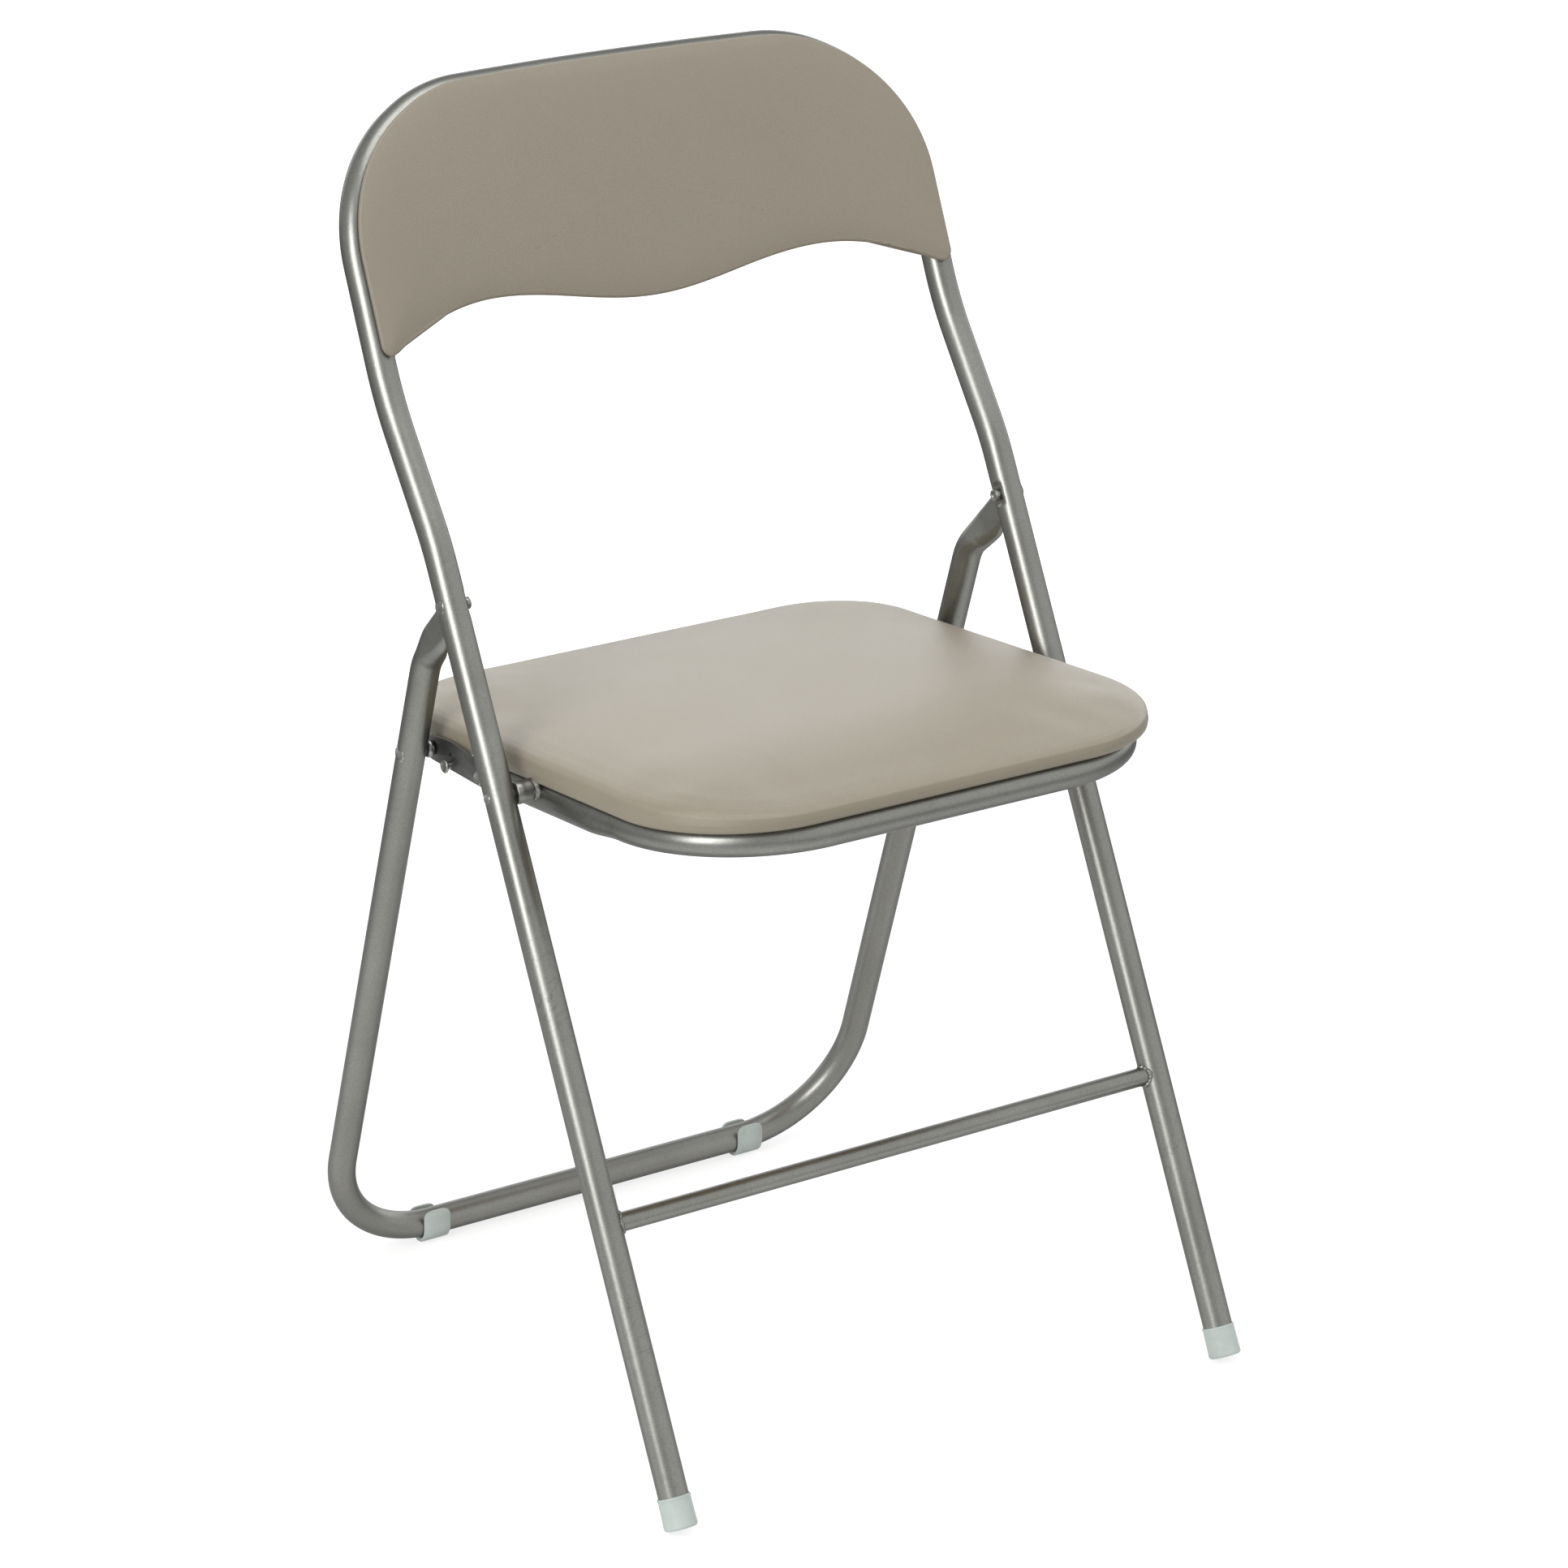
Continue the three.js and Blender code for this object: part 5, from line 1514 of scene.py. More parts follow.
# Seat frame
@dataclass
class SeatFrame:
    """U-shaped tube under the cushion, flattened at its pivots, with a welded collar at each."""

    palette: Palette
    wall: float = 1.0
    tube_r: float = 9.5
    front_y: float = -199.7
    inset: float = 11.7
    corner_r: float = 88.0
    press_half_t: float = 9.0
    press_half_w: float = 10.5
    press_length: float = 34.0
    flat_depth: float = 1.6
    flat_length: float = 104.0
    tail: float = 11.0
    collar_r: float = 7.1
    pocket_r: float = 4.1

    def path(self) -> Array:
        """Stations from one tail round the front to the other.

        Returns:
            Rows of x, y, z, half thickness and half width.
        """
        lay = LAYOUT
        front_x = lay.seat_out - self.inset
        pressed_x = lay.seat_tube_out - self.press_half_t
        round_h, pressed_h = -self.tube_r - lay.gap, -self.press_half_w - lay.gap
        corner_y = self.front_y + self.corner_r
        share = smoothstep(np.linspace(1, 0, 14), 0, 1)[:-1]
        run = np.linspace(1, 0, 14)[:-1]
        press = np.hstack([
            lay.on_seat(
                front_x + (pressed_x - front_x) * share,
                corner_y + self.press_length * run,
                round_h + (pressed_h - round_h) * share,
            ),
            (self.tube_r + (self.press_half_t - self.tube_r) * share)[:, None],
            (self.tube_r + (self.press_half_w - self.tube_r) * share)[:, None],
        ])
        tail_y = float((lay.seat_link - vec(0, 0, lay.seat_z)) @ lay.seat_back) + self.tail
        tail = stations(
            lay.on_seat(pressed_x, np.array([tail_y]), pressed_h), self.press_half_t, self.press_half_w
        )
        turn = arc(front_x - self.corner_r, corner_y, self.corner_r, 0, -90)
        corner = stations(lay.on_seat(turn[:, 0], turn[:, 1], round_h), self.tube_r)
        return mirrored(np.vstack([tail, press, corner]))

    def build(self) -> None:
        """Builds and dresses the tube, the collars and their welds."""
        lay = LAYOUT
        path = self.path()
        total = float(lengths_along(path)[-1])
        path = densify(path, 4.0, [(80, 120), (total - 120, total - 80)])

        def flattened(s: Array, t: Array) -> Array:
            """The outer side, cut back to a flat from a curved front end to the tube's rear end."""
            along = np.minimum(s, total - s)
            outwards = np.maximum(np.cos(t), 0.3)
            flat = np.minimum((self.tube_r - self.flat_depth) / outwards - self.tube_r, 0.0)
            front = self.flat_length - 11 * np.sin(t) ** 2
            return flat * smoothstep(along, front + 2.5, front - 2.5)

        piece = tube("seat_tube", path, lay.seat_up, self.wall, 64, flattened)
        pivots = (lay.seat_pivot, lay.seat_link)
        cutters = bores(pivots, lay.seat_tube_in - 2, lay.seat_out + 2)
        for side in SIDES.values():
            for x, y, drop in lay.seat_screws.values():
                ends = [lay.on_seat(side * x, np.float64(y), -h) for h in (drop - 4, drop + 4)]
                cutters.append(cylinder(*ends, self.pocket_r, 32))
        carve(piece, cutters)
        self.palette.dress(piece, "frame", "seat", "seat_frame")
        for name, side in SIDES.items():
            self.build_collar(name, side)

    def build_collar(self, name: str, side: int) -> None:
        """Collar welded to the seat tube.

        Its radius is r plus three bells along it: the bead against the tube, a shallow groove
        beside the bead, and a slight swelling at the outer end. The bead and the swelling also
        ripple around the collar by the sum of two sines.

        Args:
            name: The side's name.
            side: -1 at the left, 1 at the right.
        """
        lay = LAYOUT
        face = lay.seat_tube_out - self.flat_depth
        start, stop = face - 0.8, lay.frame_half_w - lay.tube_r - lay.gap
        h = np.linspace(start, stop - 0.5, 40)
        r, b = self.collar_r - 0.15, RIVET_BORE_R
        bead, swelling = bell(h, face + 1.0, 1.5), bell(h, stop - 3.2, 2.2)
        outer = r + 1.0 * bead - 0.3 * bell(h, face + 3.6, 0.6) + 0.35 * swelling
        wall = np.column_stack([outer, h])
        profile = np.vstack([wall, [[r - 0.35, stop], [b, stop], [b, start]]])
        rings = lathe(profile, vec(0, *lay.seat_pivot[1:]), vec(side, 0, 0), 96)
        t = np.arange(96) * 2 * math.pi / 96
        ripple = 0.2 * np.sin(11 * t + side) + 0.25 * np.sin(4 * t + 1.3)
        uneven = 0.14 * np.sin(3 * t + 0.6) + 0.08 * np.sin(7 * t)
        share = np.zeros(len(profile))
        share[:40] = bead
        rough = np.zeros(len(profile))
        rough[:40] = swelling
        shift = share[:, None] * ripple[None] + rough[:, None] * uneven[None]
        spokes = rings - at_x(np.broadcast_to(lay.seat_pivot, rings.shape), rings[..., 0])
        rings = rings + unit(spokes) * shift[..., None]
        collar = solid(f"pivot_collar_{name}", rings, Ends.LOOPED, sharp=50)
        self.palette.dress(collar, "frame", "seat", f"seat_collar_{name}")


# Links and fasteners
@dataclass(frozen=True)
class Spot:
    """Where a turned piece goes, and what it stands for.

    Attributes:
        name: Name of the piece.
        node: Solid that it stands for.
        point: Point on its axis at height 0.
        axis: Direction of its axis.
        body: Body that it moves with.
    """

    name: str
    node: str
    point: Array
    axis: Array
    body: str


def side_spot(side: str, name: str, node: str, point: Array, body: str) -> Spot:
    """Spot of the named side's piece, turned about a line across the chair."""
    return Spot(f"{name}_{side}", f"{node}_{side}", point, vec(SIDES[side], 0, 0), body)


@dataclass
class Fasteners:
    """Rivets, pins, washers, spacers and screws, all turned about their own axis."""

    palette: Palette
    shaft_r: float = 3.0
    head_r: float = 5.3
    seat_head_r: float = 3.9
    link_head_r: float = 4.7
    head_h: float = 1.7
    tail_r: float = 3.9
    tail_h: float = 1.9
    pin_tail_h: float = 0.8
    stop_r: float = 2.4
    stop_head_r: float = 4.5
    stop_head_h: float = 5.0
    spacer_r: float = 6.0
    washer_r: float = 5.4
    screw_r: float = 1.8
    screw_head_r: float = 3.8
    screw_head_h: float = 2.0

    def head(self, radius: float, base: float) -> list[tuple[float, float]]:
        """Profile of a set rivet head: an upright rim, a domed shoulder and a shallow dish.

        Args:
            radius: Radius of the head.
            base: Height of its underside.

        Returns:
            Rows of radius and height.
        """
        h = self.head_h
        return [
            (radius, base), (radius, base + 0.42 * h), (0.93 * radius, base + 0.75 * h),
            (0.8 * radius, base + h), (0.68 * radius, base + 0.96 * h),
            (0.55 * radius, base + 0.78 * h), (0.08 * radius, base + 0.74 * h),
        ]

    def turned(self, spot: Spot, profile: Array, ends: Ends = Ends.CAPPED) -> None:
        """Turns a profile, rows of radius and height, into a dressed piece."""
        piece = solid(spot.name, lathe(profile, spot.point, spot.axis), ends, sharp=42)
        self.palette.dress(piece, "fastener", spot.body, spot.node)

    def rivet(self, spot: Spot, inner: float, outer: float, radius: float) -> None:
        """Rivet across the chair: its set head pressed into the outside, an upset tail inside.

        Args:
            spot: Its place.
            inner: Inner end of what it holds together.
            outer: Outer end of that.
            radius: Radius of the head.
        """
        gap = LAYOUT.gap
        base = outer - RIVET_SEAT_DEPTH if outer > LAYOUT.link_out + 1 else outer + gap
        start = inner + 0.8 if inner > LAYOUT.link_in + 1 else inner - gap
        end, r = inner - gap - self.tail_h, self.tail_r
        tail = [
            (0.1, end + 1.3), (0.45 * r, end + 1.1), (0.6 * r, end + 0.25), (0.72 * r, end),
            (0.86 * r, end), (r, end + 0.35), (r, start), (self.shaft_r, start),
            (self.shaft_r, base),
        ]
        self.turned(spot, soften([*tail, *self.head(radius, base)], 0.25))

    def ring(self, spot: Spot, start: float, stop: float, end_r: float, middle_r: float) -> None:
        """Ring round a rivet, wider in its middle by (middle_r - end_r) * (1 - u^2).

        Args:
            spot: Its place.
            start: Inner end.
            stop: Outer end.
            end_r: Radius at both ends.
            middle_r: Radius in the middle.
        """
        u = np.linspace(-1, 1, 12)
        x = (start + stop) / 2 + u * (stop - start) / 2
        wall = np.stack([end_r + (middle_r - end_r) * (1 - u**2), x], axis=1)
        inner = np.array([[RIVET_BORE_R, stop], [RIVET_BORE_R, start]])
        rim = np.array([[wall[-1, 0] - 0.3, stop]])
        low = np.array([[wall[0, 0] - 0.3, start]])
        wall[0, 1] += 0.2
        wall[-1, 1] -= 0.2
        self.turned(spot, np.vstack([low, wall, rim, inner]), Ends.LOOPED)

    def screw(self, spot: Spot, under: float, end: float) -> None:
        """Pan-head screw with a cross recess; under is where the head's bearing face is.

        Args:
            spot: Its place, the axis going from the head to the tip.
            under: Height of the head's bearing face.
            end: Height of the tip.
        """
        r, h = self.screw_head_r, self.screw_head_h
        low = under - h
        profile = soften([
            (0.05, low), (0.45 * r, low + 0.06), (0.8 * r, low + 0.35 * h), (r, low + 0.75 * h),
            (r, under), (self.screw_r, under), (self.screw_r, end - 1.0), (0.9, end), (0.05, end),
        ], 0.5)
        piece = solid(spot.name, lathe(profile, spot.point, spot.axis), sharp=42)
        axis = unit(spot.axis)
        e1 = unit(np.cross(axis, X_AXIS)) if abs(axis[0]) < 0.9 else vec(0, 1, 0)
        e2 = np.cross(axis, e1)
        arms = ([1.9, 0.4, 1.1], [0.4, 1.9, 1.1])
        carve(piece, [block(spot.point + axis * low, [e1, e2, axis], arm) for arm in arms], sharp=42)
        self.palette.dress(piece, "fastener", spot.body, spot.node)

    def build_pivots(self) -> None:
        """Every rivet, washer and spacer of both sides, and the links' stops."""
        lay = LAYOUT
        out, inn = lay.frame_half_w + lay.tube_r, lay.frame_half_w - lay.tube_r
        seat_in = lay.seat_tube_in
        rear_out = lay.rear_half_w + lay.rear_r
        gap, r, low = lay.gap, self.stop_head_r, lay.link_in - lay.gap / 2
        tail_low = low - self.pin_tail_h
        tail = [(0.3, tail_low), (self.tail_r, tail_low), (self.tail_r, low)]
        for side in SIDES:
            link = f"link_{side[0]}"
            self.rivet(side_spot(side, "top_pivot_rivet", "top_rivet", lay.top_pivot, "front"),
                       inn, out, self.head_r)
            self.rivet(side_spot(side, "seat_pivot_rivet", "seat_rivet", lay.seat_pivot, "front"),
                       seat_in, out, self.seat_head_r)
            self.rivet(side_spot(side, "link_pivot_rivet", "link_rivet", lay.seat_link, "seat"),
                       seat_in, lay.link_out, self.link_head_r)
            leg = [(0.3, lay.link_out + gap), (self.shaft_r, lay.link_out + gap),
                   (self.shaft_r, rear_out - RIVET_SEAT_DEPTH),
                   *self.head(self.head_r, rear_out - RIVET_SEAT_DEPTH)]
            self.turned(side_spot(side, "leg_pivot_rivet", "leg_rivet", lay.rear_link, "rear"),
                        soften(leg, 0.3))
            stud = [*tail, (self.shaft_r, low), (self.shaft_r, lay.link_out), (0.3, lay.link_out)]
            self.turned(side_spot(side, "link_stud_pin", "link_stud", lay.rear_link, link),
                        soften(stud, 0.3))
            top = lay.link_out + gap + self.stop_head_h
            pin = [*tail, (self.stop_r, low), (self.stop_r, lay.link_out + gap),
                   (self.stop_r, top - 1.7), (r - 0.3, top - 1.7), (r, top - 1.2), (r, top - 0.5),
                   (0.86 * r, top), (0.6 * r, top - 0.1), (0.5 * r, top - 0.4), (0.05, top - 0.45)]
            stop = vec(0, lay.stop_y, lay.stop_z)
            self.turned(side_spot(side, "link_stop", "stop_pin", stop, link), soften(pin, 0.3))
            self.ring(side_spot(side, "leg_spacer_ring", "leg_spacer", lay.rear_link, "rear"),
                      lay.link_out + gap, lay.rear_half_w - lay.rear_r - gap, 4.8, self.spacer_r)
            self.ring(side_spot(side, "link_washer_ring", "link_washer", lay.seat_link, "seat"),
                      lay.seat_tube_out - 1.4, lay.seat_out + gap + lay.washer_t,
                      self.washer_r - 0.15, self.washer_r)

    def build_seat_screws(self) -> None:
        """Screws through the seat tube into the board."""
        lay = LAYOUT
        for name, side in SIDES.items():
            for place_name, (x, y, drop) in lay.seat_screws.items():
                point = lay.on_seat(side * x, np.float64(y), 0.0)
                where = f"{place_name}_{name}"
                spot = Spot(f"seat_fixing_screw_{where}", f"seat_screw_{where}", point, lay.seat_up, "seat")
                self.screw(spot, self.screw_head_h - drop, 5.8)

    def build(self) -> None:
        """Builds and dresses them all; the back's screws come with its tabs."""
        self.build_pivots()
        self.build_seat_screws()


@dataclass
class Links:
    """Flat steel link at each side, straight below and arched above."""

    palette: Palette
    front_r: float = 7.1
    rear_r: float = 8.0
    front_rise: float = 1.6
    arch_z: float = 420.8
    edge: float = 0.35
    spare_rise: float = 7.0

    def outline(self) -> Array:
        """Side view of the link: two end arcs, a straight lower edge and an upper edge
        that is the quadratic curve (1-u)^2 a + 2 u (1-u) c + u^2 b.

        Returns:
            Rows of y and z, anticlockwise.
        """
        lay = LAYOUT
        front = (lay.seat_link_y, lay.seat_link_z + self.front_rise)
        rear = (lay.rear_link[1], front[1] - self.front_r + self.rear_r)
        u = np.linspace(0, 1, 50)[1:-1, None]
        a = np.array([rear[0], rear[1] + self.rear_r])
        b = np.array([front[0], front[1] + self.front_r])
        c = np.array([(front[0] + rear[0]) / 2, self.arch_z])
        arch = (1 - u) ** 2 * a + 2 * u * (1 - u) * c + u**2 * b
        low = np.linspace([front[0], front[1] - self.front_r], [rear[0], rear[1] - self.rear_r], 20)
        return np.vstack([
            arc(*front, self.front_r, 90, 270, 6), low[1:-1],
            arc(*rear, self.rear_r, -90, 90, 6), arch,
        ])

    def build(self) -> None:
        """Builds both links, with rounded edges and their holes."""
        lay = LAYOUT
        outline = self.outline()
        normals = outward(outline)
        rows = [(self.edge, 0.0), (0.1, 0.1), (0.0, self.edge),
                (0.0, lay.link_t - self.edge), (0.1, lay.link_t - 0.1), (self.edge, lay.link_t)]
        for name, side in SIDES.items():
            rings = []
            for inset, x in rows:
                flat = outline - normals * inset
                across = np.full(len(flat), side * (lay.link_in + x))
                rings.append(np.column_stack([across, flat]))
            piece = solid(f"link_plate_{name}", np.array(rings))
            near, far = side * (lay.link_in - 1), side * (lay.link_out + 1)
            stop = vec(0, lay.stop_y, lay.stop_z)
            spare = vec(0, lay.stop_y, lay.stop_z + self.spare_rise)
            carve(piece, [bore(lay.seat_link, near, far), bore(lay.rear_link, near, far),
                          bore(stop, near, far, 2.5), bore(spare, near, far, 1.2)])
            self.palette.dress(piece, "link", f"link_{name[0]}", f"link_{name}")


# Feet
@dataclass
class Feet:
    """Caps on the front legs and saddles under the floor rail."""

    palette: Palette
    cap_r: float = 10.5
    cap_length: float = 20.0
    cap_floor: float = 3.0
    clip_x: float = 126.0
    clip_half_l: float = 10.0
    clip_wall: float = 1.7
    clip_height: float = 25.0
    clip_corner_r: float = 5.0
    clip_step: float = 4.6

    def build_cap(self, name: str, side: int) -> None:
        """Moulded cap, a little wider at its floor end, with a bead round its mouth.

        Args:
            name: The side's name.
            side: -1 at the left, 1 at the right.
        """
        lay = LAYOUT
        r, inner = self.cap_r, lay.tube_r + 0.2
        profile = soften([
            (0.2, 0.25), (0.55 * r, 0.25), (0.62 * r, 0.0), (r - 0.9, 0.0), (r, 1.3),
            (r - 0.15, 6.0), (r - 0.3, self.cap_length - 2.2), (r - 0.02, self.cap_length - 1.6),
            (r - 0.02, self.cap_length - 0.4), (r - 0.4, self.cap_length),
            (inner, self.cap_length - 0.1), (inner, self.cap_floor), (0.2, self.cap_floor),
        ], 0.8)
        point = at_x(lay.leg(lay.cap_bottom_z), side * lay.frame_half_w)
        piece = solid(f"leg_cap_{name}", lathe(profile, point, lay.leg_up, 64), sharp=50)
        self.palette.dress(piece, "feet", "front", f"foot_cap_{name}")

    def build_clip(self, name: str, side: int) -> None:
        """Saddle under the floor rail, whose two lobes have round corners.

        Its outer skin runs down the front lobe, along the lower half of the ellipse
        (a cos t, b sin t) about the rail's axis and up the shorter rear lobe; its inner skin does
        the same a wall further in. Near a lobe's top it reaches w = L - r + sqrt(r^2 - d^2)
        either way, where d is how far the point is above the start of the corners.

        Args:
            name: The side's name.
            side: -1 at the left, 1 at the right.
        """
        lay = LAYOUT
        hold = lay.rear_r + lay.gap
        half, low = hold + self.clip_wall, lay.rear_rail_z - 0.5
        up = np.linspace(1, 0, 14)[:-1, None]
        t = np.radians(np.linspace(180, 360, 40))
        front_top, rear_top = self.clip_height, self.clip_height - self.clip_step

        def skin(a: float, b: float) -> Array:
            """Rows of y and z: lobe, half ellipse, lobe."""
            bowl = np.column_stack([a * np.cos(t), lay.rear_rail_z + b * np.sin(t)])
            front = bowl[:1] + up * [0, front_top - lay.rear_rail_z]
            rear = bowl[-1:] + up[::-1] * [0, rear_top - lay.rear_rail_z]
            return np.vstack([front, bowl, rear])

        outer, inner = skin(half, low), skin(hold, hold)
        top = np.where(outer[:, 0] < 0, front_top, rear_top)
        d = np.clip(outer[:, 1] - (top - self.clip_corner_r), 0, self.clip_corner_r)
        reach = self.clip_half_l - self.clip_corner_r + np.sqrt(self.clip_corner_r**2 - d**2)
        reach = reach - 0.6 * bell(outer[:, 1], lay.rear_rail_z - low, 3.0)
        edge = 0.4
        inward = (inner - outer) * edge / self.clip_wall
        loops = []
        for sign in (-1.0, 1.0):
            x = side * self.clip_x + sign * reach
            back = side * self.clip_x + sign * (reach - edge)
            pair = [(back, inner), (x, inner - inward), (x, outer + inward), (back, outer)]
            for across, points in pair if sign < 0 else pair[::-1]:
                loops.append(np.column_stack([across, points[:, 0] + lay.rear_rail_y, points[:, 1]]))
        rings = np.swapaxes(np.array(loops), 0, 1)
        piece = solid(f"rail_saddle_{name}", rings, sharp=50)
        self.palette.dress(piece, "feet", "rear", f"rail_clip_{name}")

    def build(self) -> None:
        """Builds and dresses the caps and saddles."""
        for name, side in SIDES.items():
            self.build_cap(name, side)
            self.build_clip(name, side)


# Seat cushion
@dataclass
class SeatCushion:
    """Vinyl drawn over foam on a plywood board, and folded under it."""

    palette: Palette
    inset: float = 2.2
    front_y: float = -208.2
    rear_y: float = 168.0
    front_r: float = 83.0
    rear_r: float = 64.0
    edge_h: float = 15.8
    crown: float = 8.6
    bulge: float = 2.4
    lip: float = 16.0
    cover_t: float = 1.0
    board_t: float = 6.0
    board_inset: float = 2.8
    swell_voxel: float = 4.5
    swell_reach: float = 2.2
    swell_spread: float = 7.5
    front_fall: float = 0.42
    front_run: float = 115.0

    def outline(self) -> Array:
        """Plan of the cushion: four arcs joined by straight sides, anticlockwise.

        Returns:
            Points x, y at even distances.
        """
        w = LAYOUT.seat_out - self.inset
        a, b = self.front_r, self.rear_r
        y0, y1 = self.front_y, self.rear_y
        loop = np.vstack([
            arc(-w + a, y0 + a, a, 180, 270, 3), arc(w - a, y0 + a, a, 270, 360, 3),
            arc(w - b, y1 - b, b, 0, 90, 3), arc(-w + b, y1 - b, b, 90, 180, 3),
        ])
        closed = np.vstack([loop, loop[:1]])
        s = lengths_along(closed)
        places = np.linspace(0, s[-1], 321)[:-1]
        return np.stack([np.interp(places, s, column) for column in closed.T], axis=1)

    def side_profile(self) -> Array:
        """Section of the cushion's edge, from the lip under it to the top.

        Returns:
            Rows of inset and height.
        """
        e = self.edge_h
        return soften([
            (self.lip, 0.0), (7.0, -0.1), (1.2, -1.6), (-self.bulge * 0.7, 0.5),
            (-self.bulge, 5.5), (-self.bulge * 0.9, e - 3.2), (0.5, e + 0.3), (5.0, e + 1.9),
            (14.0, e + 3.7),
        ], 5.0, 7.0)

    def front_drop(self, points: Array) -> Array:
        """How much the top is lowered towards the front: height * fall * (run / length)^2.

        Args:
            points: Points of the cover.

        Returns:
            The drop of each.
        """
        place = points - vec(0, 0, LAYOUT.seat_z)
        h, y = place @ LAYOUT.seat_up, place @ LAYOUT.seat_back
        run = np.clip((self.front_y + self.front_run - y) / self.front_run, 0, 1)
        return np.maximum(h - 2.0, 0) * self.front_fall * run**2

    def free(self, points: Array) -> Array:
        """Share of the cover at these points that isn't fastened: none of its lower edge."""
        h = (points - vec(0, 0, LAYOUT.seat_z)) @ LAYOUT.seat_up
        return smoothstep(h, 4.0, 10.0)

    def build_cushion(self) -> None:
        """The padded cover: edge rows carried round the outline, then a crowned top.

        The top's height is the last edge row's plus rise * (1 - (rho / rho at that row)^2.6), with
        rho = (|x/w|^4.5 + |y/l|^4.5)^(1/4.5). Then the front is lowered and the cover swelled.
        """
        outline = self.outline()
        normals = outward(outline)
        middle = np.array([0.0, (self.front_y + self.rear_y) / 2])
        half = np.array([LAYOUT.seat_out - self.inset, (self.rear_y - self.front_y) / 2])
        edge = self.side_profile()
        rings = [LAYOUT.on_seat(*(outline - normals * self.lip).T, self.cover_t)]
        rings += [LAYOUT.on_seat(*(outline - normals * inset).T, h) for inset, h in edge]
        last_inset, last_h = edge[-1]
        base = outline - normals * last_inset
        rise = self.crown + self.edge_h - last_h
        edge_rho = (np.abs((base - middle) / half) ** 4.5).sum(axis=1) ** (1 / 4.5)
        for k in np.concatenate([np.linspace(1, 0.1, 46)[1:], [0.05, 0.015]]):
            plan = middle + (base - middle) * k
            rho = (np.abs((plan - middle) / half) ** 4.5).sum(axis=1) ** (1 / 4.5)
            rings.append(LAYOUT.on_seat(*plan.T, last_h + rise * (1 - (rho / edge_rho) ** 2.6)))
        under_end = outline - normals * (self.board_inset + 1.5)
        start = LAYOUT.on_seat(*(under_end.T), self.cover_t + 0.4)
        points = np.array([start, *rings])
        points -= self.front_drop(points)[..., None] * LAYOUT.seat_up
        piece = solid("seat_cushion", points, sharp=60)
        swell(piece, self.free, self.swell_voxel, self.swell_reach, self.swell_spread)
        self.palette.dress(piece, "seat_vinyl", "seat", "seat_cover", "seat_foam")

    def build_board(self) -> None:
        """Plywood board with softened edges; its underside shows inside the cover's lip."""
        outline = self.outline()
        normals = outward(outline)
        low = self.cover_t + LAYOUT.gap
        rows = [(self.board_inset + 0.5, low), (self.board_inset, low + 0.5),
                (self.board_inset, low + self.board_t - 0.5),
                (self.board_inset + 0.5, low + self.board_t)]
        rings = [LAYOUT.on_seat(*(outline - normals * inset).T, h) for inset, h in rows]
        piece = solid("seat_plywood_board", np.array(rings))
        self.palette.dress(piece, "board", "seat", "seat_board")

    def build(self) -> None:
        """Builds and dresses the cushion and its board."""
        self.build_board()
        self.build_cushion()


